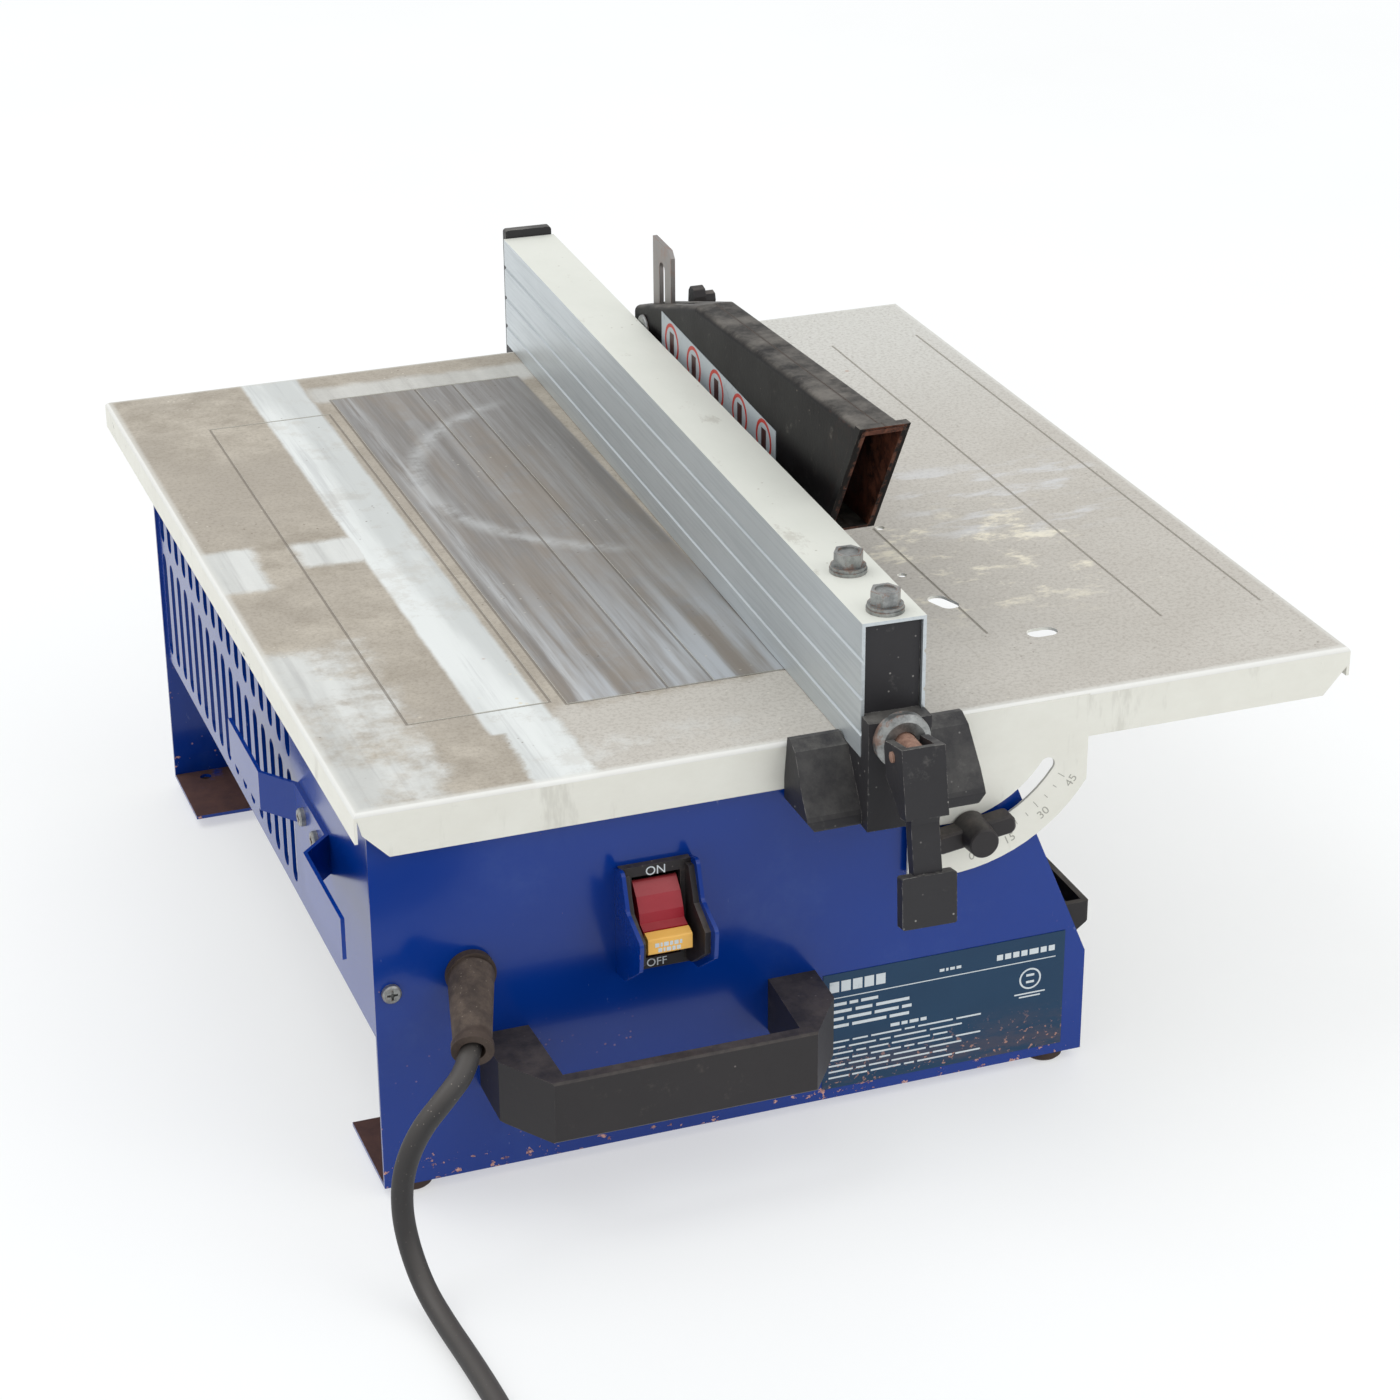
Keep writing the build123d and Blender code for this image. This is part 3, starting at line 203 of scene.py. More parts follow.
def rust_tone(s):
    return s.mix(s.step(s.noise(520, 4, 0.7, shift=6.0), 0.4, 0.66), *RUSTED)


def speckle(s, scale, coverage, shift, gather=0.0):
    """Scattered small marks; gather > 0 collects them in clusters."""
    marks = s.step(s.cells(scale, shift=shift), coverage, coverage * 0.35)
    if gather:
        clusters = s.step(s.noise(scale * 0.12, 3, shift=shift), gather, gather + 0.08)
        marks = s.math("MULTIPLY", marks, clusters)
    return marks


def blue_paint():
    """Glossy stoved blue: small rust chips near the floor, fine scuffs, rusted bottom flanges."""
    s = Shader("blue_paint_chipped")
    colour = s.mix(s.noise(7, 4, 0.6), srgb(0, 44, 126), srgb(0, 56, 148))
    haze = s.math("MULTIPLY", s.step(s.noise(14, 6, 0.72, shift=2.0), 0.5, 0.78), 0.2)
    colour = s.mix(haze, colour, srgb(70, 100, 160))
    scuffs = s.math("MULTIPLY", s.step(s.noise(420, 3, 0.6, (1, 1, 0.3), 4.0), 0.68, 0.74),
                    s.step(s.noise(20, 3, shift=3.0), 0.5, 0.6))
    colour = s.mix(s.math("MULTIPLY", scuffs, 0.3), colour, srgb(150, 160, 190))

    low = s.step(s.z, 0.034, 0.006)
    blots = s.math("MULTIPLY_ADD", s.noise(60, 4, 0.6, shift=1.5), 0.22,
                   s.noise(250, 5, 0.66, (1, 1, 1.3), 9.0))
    limit = s.math("MULTIPLY_ADD", low, -0.13, 0.86)
    chips = s.step(s.math("SUBTRACT", blots, limit), 0.0, 0.015)
    grains = s.math("MULTIPLY", speckle(s, 300, 0.2, 3.1, 0.54), s.step(s.z, 0.07, 0.02))
    worn = s.math("MULTIPLY", s.edges(0.0005, 0.1, 0.35), s.step(s.noise(130, 4, 0.75), 0.6, 0.66))
    rust = s.math("MAXIMUM", s.math("MAXIMUM", chips, grains), worn)
    flange = s.math("MULTIPLY", s.step(s.z, 0.0085, 0.0068), s.facing_up())
    flange = s.math("MULTIPLY", flange, s.step(s.noise(26, 5, 0.7, shift=7.0), 0.3, 0.42))
    colour = s.mix(rust, colour, rust_tone(s))
    colour = s.mix(flange, colour, s.mix(s.noise(90, 5, 0.7), srgb(50, 36, 42), srgb(104, 72, 62)))
    rust = s.math("MAXIMUM", rust, flange)
    s.set(Base_Color=colour)
    s.set(Roughness=s.blend(rust, s.blend(s.noise(30, 5, 0.6), 0.13, 0.24), 0.85))
    s.set(Coat_Weight=s.math("SUBTRACT", 0.1, s.math("MULTIPLY", rust, 0.1)))
    s.set(Specular_IOR_Level=0.36)
    s.set(Coat_Roughness=0.05)
    s.set(Normal=s.bump(s.math("MULTIPLY", rust, -1.0), 0.0002, 0.7, s.bump(s.noise(90, 2), 0.0001, 0.12)))
    return s.material


# Places on the table top, each as x0, x1, y0, y1.
APRON = (-0.056, 0.3, -0.3, -0.128)
STRIPE_BACK = (-0.0835, -0.0575, -0.142, 0.5)
STRIPE_FRONT = (-0.0795, -0.056, -0.5, -0.135)
WIPED_CORNER = (-0.16, -0.108, -0.19, -0.045)
WIPED_EDGE = (-0.16, -0.125, 0.018, 0.062)
WIPED_BAR = (-0.108, -0.080, 0.034, 0.060)
WIPED_BACK = (-0.057, 0.06, 0.218, 0.238)
WIPED_FRONT = (-0.056, 0.01, -0.178, -0.158)
RUBBED = (-0.0490, 0.0405, -0.126, 0.221)
CHALK = (0.105, 0.20, -0.105, -0.005)
SMEAR = (0.145, 0.235, -0.035, 0.045)
FLAKES = (-0.13, -0.06, -0.14, -0.05)
INSIDE_FOLDS = (-0.1435, 0.2442, -0.1816, 0.2527)


def table_steel():
    """Galvanised sheet under dried slurry: a clean stripe, wiped corners, a brushed bare panel, and a painted
    highlight along its folds.
    """
    s = Shader("table_sheet")
    fine = s.noise(620, 4, 0.75)
    cloud = s.noise(9, 7, 0.7, shift=1.0)
    patchy = s.noise(42, 7, 0.74, shift=6.5)
    brushed = s.noise(150, 6, 0.68, (1, 0.03, 1), 2.0)
    broad = s.noise(34, 5, 0.62, (1, 0.1, 1), 5.0)
    wobble = s.math("MULTIPLY_ADD", s.noise(55, 6, 0.75, shift=4.0), 0.012, -0.006)
    ragged = s.math("MULTIPLY", wobble, 2.4)

    dust_left = s.mix(s.step(patchy, 0.3, 0.7), srgb(156, 147, 133), srgb(190, 182, 168))
    dust_left = s.mix(s.step(cloud, 0.35, 0.7), dust_left, srgb(168, 160, 148))
    dust_right = s.mix(s.step(cloud, 0.25, 0.75), srgb(186, 181, 172), srgb(199, 195, 187))
    dust_right = s.mix(s.step(s.y, 0.02, 0.24), dust_right, srgb(206, 205, 199))
    apron = s.patch(*APRON, 0.004, ragged)
    left_share = s.math("MULTIPLY", s.step(s.x, 0.066, 0.056), s.math("SUBTRACT", 1.0, apron))
    dust = s.mix(left_share, dust_right, dust_left)
    dust = s.mix(s.math("MULTIPLY", s.step(fine, 0.44, 0.66), 0.3), dust, srgb(120, 110, 98))

    stripe = s.patch(*STRIPE_BACK, 0.0012, s.math("MULTIPLY", wobble, 0.2))
    stripe = s.math("MAXIMUM", stripe, s.patch(*STRIPE_FRONT, 0.002, wobble))
    stripe = s.math("MULTIPLY", stripe, s.blend(s.step(patchy, 0.64, 0.5), 0.72, 1.0))
    corner = s.math("MULTIPLY", s.patch(*WIPED_CORNER, 0.006, ragged),
                    s.step(s.noise(20, 6, 0.7, shift=9.0), 0.34, 0.56))
    corner = s.math("MAXIMUM", corner, s.patch(*WIPED_EDGE, 0.003, wobble))
    corner = s.math("MAXIMUM", corner, s.patch(*WIPED_BAR, 0.003, wobble))
    behind = s.math("MULTIPLY", s.patch(*WIPED_BACK, 0.004, wobble), 0.55)
    front = s.math("MULTIPLY", s.patch(*WIPED_FRONT, 0.004, ragged), s.step(patchy, 0.44, 0.62))
    front = s.math("MULTIPLY", front, 0.35)
    cleaned = s.math("MAXIMUM", s.math("MULTIPLY", corner, 0.8), s.math("MAXIMUM", behind, front))
    cleaned = s.math("MAXIMUM", stripe, cleaned)
    clean = s.mix(s.step(broad, 0.36, 0.62), srgb(206, 209, 207), srgb(230, 233, 231))
    clean = s.mix(s.math("MULTIPLY", s.step(brushed, 0.5, 0.66), 0.4), clean, srgb(176, 178, 178))

    rubbed = s.patch(*RUBBED, 0.0008)
    bare = s.mix(s.step(brushed, 0.34, 0.66), srgb(138, 134, 130), srgb(168, 167, 166))
    brown = s.math("MULTIPLY", s.step(broad, 0.42, 0.6), s.step(patchy, 0.3, 0.56))
    bare = s.mix(s.math("MULTIPLY", brown, 0.55), bare, srgb(156, 144, 130))
    bright = s.math("MULTIPLY", s.step(s.noise(80, 5, 0.6, (1, 0.05, 1), 8.0), 0.4, 0.6),
                    s.step(s.y, 0.03, -0.115))
    bare = s.mix(s.math("MULTIPLY", bright, 0.7), bare, srgb(206, 212, 218))
    left_edge = s.math("MULTIPLY", s.band(s.x, -0.0450, -0.0400, 0.002), s.step(brushed, 0.4, 0.6))
    bare = s.mix(s.math("MULTIPLY", left_edge, 0.6), bare, srgb(216, 219, 221))

    colour = s.mix(cleaned, dust, clean)
    colour = s.mix(rubbed, colour, bare)
    swirl = swirl_mask(s)
    colour = s.mix(s.math("MULTIPLY", swirl, 0.75), colour, srgb(206, 208, 208))
    chalk = s.math("MULTIPLY", s.patch(*CHALK, 0.02, ragged),
                   s.step(s.noise(44, 6, 0.68, (1, 1.6, 1), 8.0), 0.53, 0.68))
    colour = s.mix(s.math("MULTIPLY", chalk, 0.85), colour, srgb(236, 229, 208))
    smear = s.math("MULTIPLY", s.patch(*SMEAR, 0.012, ragged),
                   s.step(s.noise(26, 4, 0.6, (1, 3.2, 1), 5.0), 0.5, 0.64))
    colour = s.mix(s.math("MULTIPLY", smear, 0.45), colour, srgb(216, 219, 224))
    flakes = s.math("MULTIPLY", speckle(s, 170, 0.2, 4.4, 0.56), s.patch(*FLAKES, 0.01, ragged))
    colour = s.mix(flakes, colour, srgb(226, 219, 200))
    grains = s.math("MAXIMUM", speckle(s, 240, 0.15, 1.0, 0.56), speckle(s, 110, 0.09, 2.0, 0.6))
    colour = s.mix(s.math("MULTIPLY", grains, 0.65), colour, srgb(104, 90, 76))
    pale = s.math("MULTIPLY", speckle(s, 200, 0.13, 8.0, 0.54), 0.6)
    colour = s.mix(pale, colour, srgb(222, 217, 204))
    rust_spots = speckle(s, 46, 0.07, 7.0, 0.55)
    colour = s.mix(s.math("MULTIPLY", rust_spots, 0.7), colour, srgb(158, 104, 74))

    flat = s.facing_up(0.55, 0.9)
    groove = s.math("MULTIPLY", s.band(s.z, TABLE_Z - 0.0005, TABLE_Z - 0.00018, 0.00004), flat)
    colour = s.mix(s.math("MULTIPLY", groove, 0.6), colour, srgb(104, 96, 88))
    # Painted highlight: a lighter rim on the top where it runs into its rounded folds.
    painted_edge_highlight = s.math("SUBTRACT", 1.0, s.patch(*INSIDE_FOLDS, 0.0012))
    colour = s.mix(s.math("MULTIPLY", painted_edge_highlight, 0.5), colour, srgb(222, 222, 216))

    flange = s.mix(s.noise(30, 6, 0.7, (1, 1, 1.5), 3.0), srgb(228, 226, 216), srgb(244, 244, 236))
    streaks = s.math("MULTIPLY", s.step(s.noise(60, 5, 0.7, (1, 1, 0.25), 2.2), 0.56, 0.7), 0.3)
    flange = s.mix(streaks, flange, srgb(176, 172, 160))
    scuffs = s.math("MULTIPLY", s.step(s.noise(70, 6, 0.75, (0.35, 1, 2.2), 11.0), 0.6, 0.66),
                    s.step(s.noise(8, 3, shift=12.0), 0.52, 0.6))
    flange = s.mix(s.math("MULTIPLY", scuffs, 0.75), flange, srgb(74, 72, 70))
    flange = s.mix(s.math("MULTIPLY", speckle(s, 60, 0.08, 3.7, 0.5), 0.8), flange, srgb(170, 116, 84))
    fold = s.math("MULTIPLY", s.band(s.lean, 0.18, 0.9, 0.08), s.step(s.z, TABLE_Z - 0.004, TABLE_Z - 0.003))
    colour = s.mix(s.math("MAXIMUM", flat, fold), flange, colour)
    # Painted highlight: the rounded folds are painted near-white, standing in for the light they catch.
    colour = s.mix(s.math("MULTIPLY", fold, 0.8), colour, srgb(244, 244, 240))

    metal = s.math("MAXIMUM", s.math("MULTIPLY", rubbed, 0.7), s.math("MULTIPLY", cleaned, 0.35))
    metal = s.math("MULTIPLY", metal, flat)
    s.set(Base_Color=colour)
    s.set(Metallic=s.math("MAXIMUM", metal, s.math("MULTIPLY", s.math("SUBTRACT", 1.0, flat), 0.3)))
    s.set(Roughness=s.blend(metal, s.blend(cloud, 0.6, 0.8), s.blend(brushed, 0.3, 0.5)))
    height = s.math("ADD", s.math("MULTIPLY", fine, 0.25), s.math("MULTIPLY", swirl, -0.25))
    height = s.math("ADD", height, s.math("MULTIPLY", s.math("MAXIMUM", grains, flakes), 0.6))
    s.set(Normal=s.bump(height, 0.0003, 0.5))
    return s.material


def swirl_mask(s):
    """A wiped arc across the rubbed part of the table."""
    centre_x, centre_y, radius = 0.058, 0.098, 0.098
    dx, dy = s.math("SUBTRACT", s.x, centre_x), s.math("SUBTRACT", s.y, centre_y)
    reach = s.math("SQRT", s.math("ADD", s.math("MULTIPLY", dx, dx), s.math("MULTIPLY", dy, dy)))
    arc = s.band(reach, radius - 0.003, radius + 0.003, 0.005)
    arc = s.math("MULTIPLY", arc, s.step(s.x, 0.03, 0.005))
    return s.math("MULTIPLY", arc, s.step(s.noise(40, 6, 0.7, shift=1.7), 0.36, 0.56))


def fence_aluminium():
    """Extruded aluminium: die lines along the length, pale dust on top."""
    s = Shader("fence_extruded")
    lines = s.noise(700, 3, 0.6, (1, 0.01, 1), 1.0)
    cloud = s.noise(16, 6, 0.7, (1, 0.6, 1), 2.0)
    top = s.math("MULTIPLY", s.facing_up(0.6, 0.95), s.step(s.z, TABLE_Z + 0.049, TABLE_Z + 0.0505))
    side = s.mix(cloud, srgb(190, 198, 201), srgb(214, 220, 223))
    side = s.mix(s.math("MULTIPLY", s.step(lines, 0.45, 0.65), 0.2), side, srgb(160, 168, 173))
    dusty = s.mix(cloud, srgb(212, 214, 205), srgb(232, 233, 225))
    specks = s.math("MULTIPLY", speckle(s, 190, 0.12, 4.0, 0.5), 0.6)
    stain = s.math("MULTIPLY", s.step(s.noise(60, 6, 0.72, (1, 0.5, 1), 6.0), 0.6, 0.7), 0.35)
    dusty = s.mix(s.math("MAXIMUM", specks, stain), dusty, srgb(160, 152, 138))
    colour = s.mix(top, side, dusty)
    colour = s.mix(s.math("MULTIPLY", s.edges(0.0003, 0.1, 0.4), 0.3), colour, srgb(238, 241, 242))
    s.set(Base_Color=colour)
    s.set(Metallic=s.blend(top, 0.55, 0.2))
    s.set(Roughness=s.blend(top, s.blend(lines, 0.34, 0.48), 0.6))
    s.set(Normal=s.bump(lines, 0.0001, 0.25, s.bump(cloud, 0.0004, 0.1)))
    return s.material


def worn_black(name, dark, light, top, scuff, grain_depth, edge_share, gloss, shine=0.35):
    """Black castings and mouldings: dusty where they face up, broken pale wear on edges, flecks."""
    s = Shader(name)
    cloud = s.noise(30, 7, 0.72, shift=3.0)
    colour = s.mix(cloud, dark, light)
    dust = s.math("MULTIPLY", s.facing_up(0.25, 0.95), s.step(s.noise(46, 7, 0.75, shift=5.5), 0.3, 0.75))
    colour = s.mix(s.math("MULTIPLY", dust, 0.75), colour, top)
    smudges = s.math("MULTIPLY", s.step(s.noise(70, 6, 0.75, shift=8.5), 0.58, 0.72), 0.3)
    colour = s.mix(smudges, colour, top)
    edge = s.math("MULTIPLY", s.edges(0.0005, 0.06, 0.3), s.step(s.noise(230, 5, 0.75), 0.46, 0.58))
    colour = s.mix(s.math("MULTIPLY", edge, edge_share), colour, scuff)
    flecks = s.math("MULTIPLY", speckle(s, 230, 0.12, 2.0, 0.52), 0.8)
    colour = s.mix(flecks, colour, scuff)
    s.set(Base_Color=colour)
    s.set(Roughness=s.blend(cloud, gloss, gloss + 0.2))
    s.set(Specular_IOR_Level=shine)
    s.set(Normal=s.bump(s.noise(520, 3, 0.6), grain_depth, 0.5))
    return s


def guard_plastic():
    """Black moulded hood: dusty roof, rust-coloured slurry dried inside the mouth."""
    s = worn_black("guard_moulded", srgb(10, 9, 10), srgb(21, 18, 19), srgb(130, 125, 118),
                   srgb(128, 116, 108), 0.00012, 0.5, 0.36, 0.15)
    off_centre = s.math("ABSOLUTE", s.math("SUBTRACT", s.x, BLADE_X))
    roof = s.facing_up(0.25, 0.6)
    seam = s.math("MULTIPLY", roof, s.step(off_centre, 0.0009, 0.0003))
    inside = s.math("MULTIPLY", s.step(off_centre, 0.00765, 0.0074), s.step(s.y, 0.08, -0.05))
    inside = s.math("MULTIPLY", inside, s.math("SUBTRACT", 1.0, roof))
    slurry = s.mix(s.step(s.noise(90, 6, 0.75, shift=8.0), 0.35, 0.7), srgb(34, 20, 18), srgb(104, 62, 48))
    lip = s.math("MULTIPLY", s.step(s.y, -0.078, -0.088),
                 s.step(s.noise(170, 5, 0.75, shift=3.0), 0.46, 0.58))
    lip = s.math("MULTIPLY", lip, s.math("MULTIPLY", s.step(off_centre, 0.0093, 0.0085),
                                         s.math("SUBTRACT", 1.0, roof)))
    colour = s.bsdf.inputs["Base Color"].links[0].from_socket
    colour = s.mix(s.math("MULTIPLY", seam, 0.7), colour, srgb(70, 62, 56))
    colour = s.mix(inside, colour, slurry)
    s.set(Base_Color=s.mix(s.math("MULTIPLY", lip, 0.6), colour, srgb(124, 78, 60)))
    return s.material


def zinc_steel():
    """Dull zinc plate with rust in the corners."""
    s = Shader("zinc_plate")
    cloud = s.noise(160, 6, 0.75)
    colour = s.mix(s.step(cloud, 0.3, 0.7), srgb(118, 120, 120), srgb(178, 180, 178))
    edge = s.math("MULTIPLY", s.edges(0.0009, 0.05, 0.3),
                  s.step(s.noise(240, 4, 0.75, shift=3.0), 0.46, 0.58))
    patches = s.math("MULTIPLY", s.step(s.noise(120, 5, 0.7, shift=9.0), 0.56, 0.66), 0.6)
    rust = s.math("MAXIMUM", edge, patches)
    colour = s.mix(rust, colour, s.mix(cloud, srgb(118, 76, 56), srgb(160, 112, 84)))
    s.set(Base_Color=colour)
    s.set(Metallic=s.blend(rust, 0.8, 0.1))
    s.set(Roughness=s.blend(rust, s.blend(cloud, 0.32, 0.54), 0.85))
    s.set(Normal=s.bump(cloud, 0.0001, 0.35))
    return s.material


def rusty_steel():
    s = Shader("rusted_bar")
    cloud = s.noise(150, 6, 0.75)
    s.set(Base_Color=s.mix(s.step(cloud, 0.3, 0.7), srgb(122, 90, 76), srgb(178, 142, 124)))
    s.set(Metallic=0.3)
    s.set(Roughness=s.blend(cloud, 0.5, 0.8))
    s.set(Normal=s.bump(cloud, 0.0002, 0.6))
    return s.material


def bare_steel():
    s = Shader("bare_steel_stained")
    cloud = s.noise(90, 6, 0.7, (1, 1, 0.5), 2.0)
    stain = s.step(s.noise(60, 5, 0.7, shift=5.0), 0.5, 0.7)
    colour = s.mix(cloud, srgb(128, 124, 122), srgb(170, 166, 163))
    edge = s.math("MULTIPLY", s.edges(0.0007, 0.05, 0.3), s.step(s.noise(160, 4, 0.7), 0.45, 0.6))
    colour = s.mix(s.math("MAXIMUM", edge, s.math("MULTIPLY", stain, 0.35)), colour, srgb(160, 112, 88))
    s.set(Base_Color=colour)
    s.set(Metallic=0.7)
    s.set(Roughness=s.blend(cloud, 0.35, 0.6))
    s.set(Normal=s.bump(cloud, 0.0001, 0.3))
    return s.material


def blade_steel():
    """Ground disc: fine turning rings about the spindle, a grey diamond rim."""
    s = Shader("blade_disc")
    low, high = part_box("blade")
    dy = s.math("SUBTRACT", s.y, (low.y + high.y) / 2)
    dz = s.math("SUBTRACT", s.z, (low.z + high.z) / 2)
    reach = s.math("SQRT", s.math("ADD", s.math("MULTIPLY", dy, dy), s.math("MULTIPLY", dz, dz)))
    rings = s.math("SINE", s.math("MULTIPLY", reach, 9000.0))
    rim = s.step(reach, 0.0815, 0.0822)
    cloud = s.noise(60, 6, 0.7)
    colour = s.mix(cloud, srgb(140, 138, 134), srgb(182, 180, 176))
    s.set(Base_Color=s.mix(rim, colour, srgb(96, 88, 80)))
    s.set(Metallic=s.blend(rim, 0.95, 0.2))
    s.set(Roughness=s.blend(rim, 0.36, 0.85))
    s.set(Normal=s.bump(rings, 0.00003, 0.5))
    return s.material


def moulded(name, dark, light, roughness, dust=0.2, grain_depth=0.0001, coat=0.0):
    """A plain moulded plastic, rubber or enamel with slight mottling, dust and grain."""
    s = Shader(name)
    cloud = s.noise(45, 6, 0.7, shift=2.0)
    colour = s.mix(cloud, dark, light)
    settle = s.math("MULTIPLY", s.facing_up(0.2, 0.9), s.math("MULTIPLY", cloud, dust * 2))
    colour = s.mix(settle, colour, DUST)
    s.set(Base_Color=colour)
    s.set(Roughness=s.blend(cloud, roughness - 0.06, roughness + 0.08))
    s.set(Coat_Weight=coat)
    s.set(Normal=s.bump(s.noise(700, 3, 0.6), grain_depth, 0.4))
    return s.material


def boot_rubber():
    """Brown dusty rubber boot, darker at its collar and lip."""
    s = Shader("boot_dusty_rubber")
    cloud = s.noise(80, 6, 0.72)
    specks = s.step(s.cells(420, shift=3.0), 0.16, 0.05)
    colour = s.mix(s.step(cloud, 0.3, 0.7), srgb(62, 52, 46), srgb(104, 90, 78))
    colour = s.mix(s.math("MULTIPLY", specks, 0.45), colour, srgb(160, 148, 132))
    ends = s.math("MAXIMUM", s.step(s.y, -0.1865, -0.1845), s.step(s.y, -0.2125, -0.2145))
    colour = s.mix(s.math("MULTIPLY", ends, 0.65), colour, srgb(52, 38, 32))
    s.set(Base_Color=colour)
    s.set(Roughness=0.78)
    s.set(Normal=s.bump(cloud, 0.0003, 0.5))
    return s.material


def cord_rubber():
    s = Shader("cord_jacket")
    cloud = s.noise(70, 6, 0.72)
    specks = s.step(s.cells(500, shift=3.0), 0.15, 0.05)
    colour = s.mix(cloud, srgb(34, 32, 32), srgb(52, 50, 50))
    up = s.facing_up(0.2, 1.0)
    colour = s.mix(s.math("MULTIPLY", up, 0.3), colour, srgb(112, 106, 100))
    near_boot = s.step(s.z, 0.035, 0.075)
    specks = s.math("MULTIPLY", specks, s.math("MULTIPLY_ADD", near_boot, 0.5, 0.1))
    s.set(Base_Color=s.mix(specks, colour, srgb(168, 158, 148)))
    s.set(Roughness=0.55)
    s.set(Normal=s.bump(cloud, 0.0002, 0.4))
    return s.material


def copper_winding():
    """Varnished turns of wire running round the motor's ends."""
    s = Shader("varnished_winding")
    wires = s.node("ShaderNodeTexWave", {"Vector": s.place, "Scale": 260.0, "Distortion": 1.5},
                   bands_direction="X").outputs["Fac"]
    s.set(Base_Color=s.mix(wires, srgb(96, 48, 22), srgb(190, 110, 60)))
    s.set(Metallic=0.7)
    s.set(Roughness=0.38)
    s.set(Normal=s.bump(wires, 0.0004, 0.7))
    return s.material


def lamination():
    s = Shader("stacked_laminations")
    sheets = s.node("ShaderNodeTexWave", {"Vector": s.place, "Scale": 160.0}, bands_direction="X")
    s.set(Base_Color=s.mix(sheets.outputs["Fac"], srgb(60, 60, 64), srgb(110, 110, 112)))
    s.set(Metallic=0.7)
    s.set(Roughness=0.5)
    s.set(Normal=s.bump(sheets.outputs["Fac"], 0.0003, 0.6))
    return s.material


def label_ground():
    """Dark teal print ground, rubbed and rust-stained along its lower edge."""
    s = Shader("label_ground")
    colour = s.mix(s.noise(14, 5, 0.65), srgb(14, 50, 78), srgb(26, 66, 98))
    stained = s.math("MULTIPLY", s.step(s.z, 0.034, 0.008),
                     s.step(s.noise(70, 6, 0.72, (0.5, 1, 1.6)), 0.42, 0.62))
    colour = s.mix(s.math("MULTIPLY", stained, 0.45), colour, srgb(96, 78, 80))
    chips = s.math("MULTIPLY", s.step(s.noise(380, 4, 0.62, (1, 1, 1.3), 9.0), 0.6, 0.63),
                   s.step(s.z, 0.03, 0.012))
    colour = s.mix(s.math("MULTIPLY", chips, 0.8), colour, srgb(186, 140, 124))
    s.set(Base_Color=colour)
    s.set(Specular_IOR_Level=0.3)
    s.set(Roughness=0.38)
    s.set(Normal=s.bump(s.noise(300, 3), 0.00005, 0.3))
    return s.material


def printed(name, colour, worn, roughness=0.45):
    """Ink on a label, a little rubbed."""
    s = Shader(name)
    rub = s.step(s.noise(160, 5, 0.7, shift=4.0), 0.56, 0.72)
    s.set(Base_Color=s.mix(s.math("MULTIPLY", rub, 0.35), colour, worn))
    s.set(Roughness=s.blend(rub, roughness, roughness + 0.2))
    s.set(Normal=s.bump(s.noise(300, 3), 0.00005, 0.3))
    return s.material


MATERIALS = {
    "blue_paint": blue_paint(),
    "table_steel": table_steel(),
    "fence_aluminium": fence_aluminium(),
    "black_casting": worn_black("black_casting_worn", srgb(36, 35, 37), srgb(52, 51, 54), srgb(122, 120, 115),
                                srgb(168, 165, 160), 0.00018, 0.85, 0.42).material,
    "guard_plastic": guard_plastic(),
    "zinc_steel": zinc_steel(),
    "rusty_steel": rusty_steel(),
    "bare_steel": bare_steel(),
    "blade_steel": blade_steel(),
    "black_plastic": worn_black("black_moulded", srgb(34, 31, 33), srgb(50, 47, 48), srgb(100, 92, 86),
                                srgb(128, 120, 116), 0.0001, 0.5, 0.4).material,
    "red_plastic": moulded("paddle_red", srgb(148, 8, 32), srgb(182, 18, 46), 0.34, 0.1),
    "yellow_plastic": moulded("key_yellow", srgb(246, 178, 70), srgb(255, 206, 108), 0.4, 0.05),
    "label_blue": label_ground(),
    "label_white": printed("label_strip", srgb(176, 184, 188), srgb(120, 118, 116)),
    "boot_rubber": boot_rubber(),
    "cord_rubber": cord_rubber(),
    "foot_rubber": moulded("foot_rubber", srgb(44, 34, 30), srgb(74, 54, 46), 0.8, 0.3),
    "motor_paint": moulded("motor_enamel", srgb(62, 64, 68), srgb(84, 86, 90), 0.42, 0.3),
    "lamination": lamination(),
    "copper_winding": copper_winding(),
    "prong_brass": moulded("prong_brass", srgb(176, 142, 78), srgb(214, 184, 118), 0.3, 0.0),
    "white_plastic": moulded("capacitor_white", srgb(196, 196, 190), srgb(222, 222, 216), 0.5, 0.3),
}
PRINT_WHITE = printed("ink_white", srgb(214, 222, 226), srgb(120, 140, 152))
PRINT_RED = printed("ink_red", srgb(186, 48, 34), srgb(150, 70, 60))
PRINT_DARK = printed("ink_dark", srgb(66, 34, 30), srgb(90, 60, 54))
ENGRAVED = printed("engraved_grey", srgb(170, 168, 158), srgb(196, 194, 184))

for subpart in frame["record"]["subparts"]:
    node = NODES[subpart["node"]]
    node.data.materials.clear()
    node.data.materials.append(MATERIALS[subpart["material_slot"]])


# ---------------------------------------------------------------- mains lead
CORD_DIAMETER = 8.0 * MM
CORD_ROUTE = [(-113.6, -209.5, 79.6), (-119, -221.5, 74.5), (-129.5, -228.5, 68.5), (-140.5, -231.5, 59),
              (-147.5, -234, 46), (-149.6, -237, 32.5), (-148.8, -242.5, 19.5), (-146.8, -253.5, 9),
              (-144.2, -270, 4.6), (-141.8, -293, 4), (-140, -322, 4), (-139.5, -362, 4),
              (-140.2, -420, 4)]
COIL_TURNS = [(50, 4), (42, 4), (42, 12), (50, 12), (50, 20)]      # radius and height of each turn
COIL_STEPS = 16


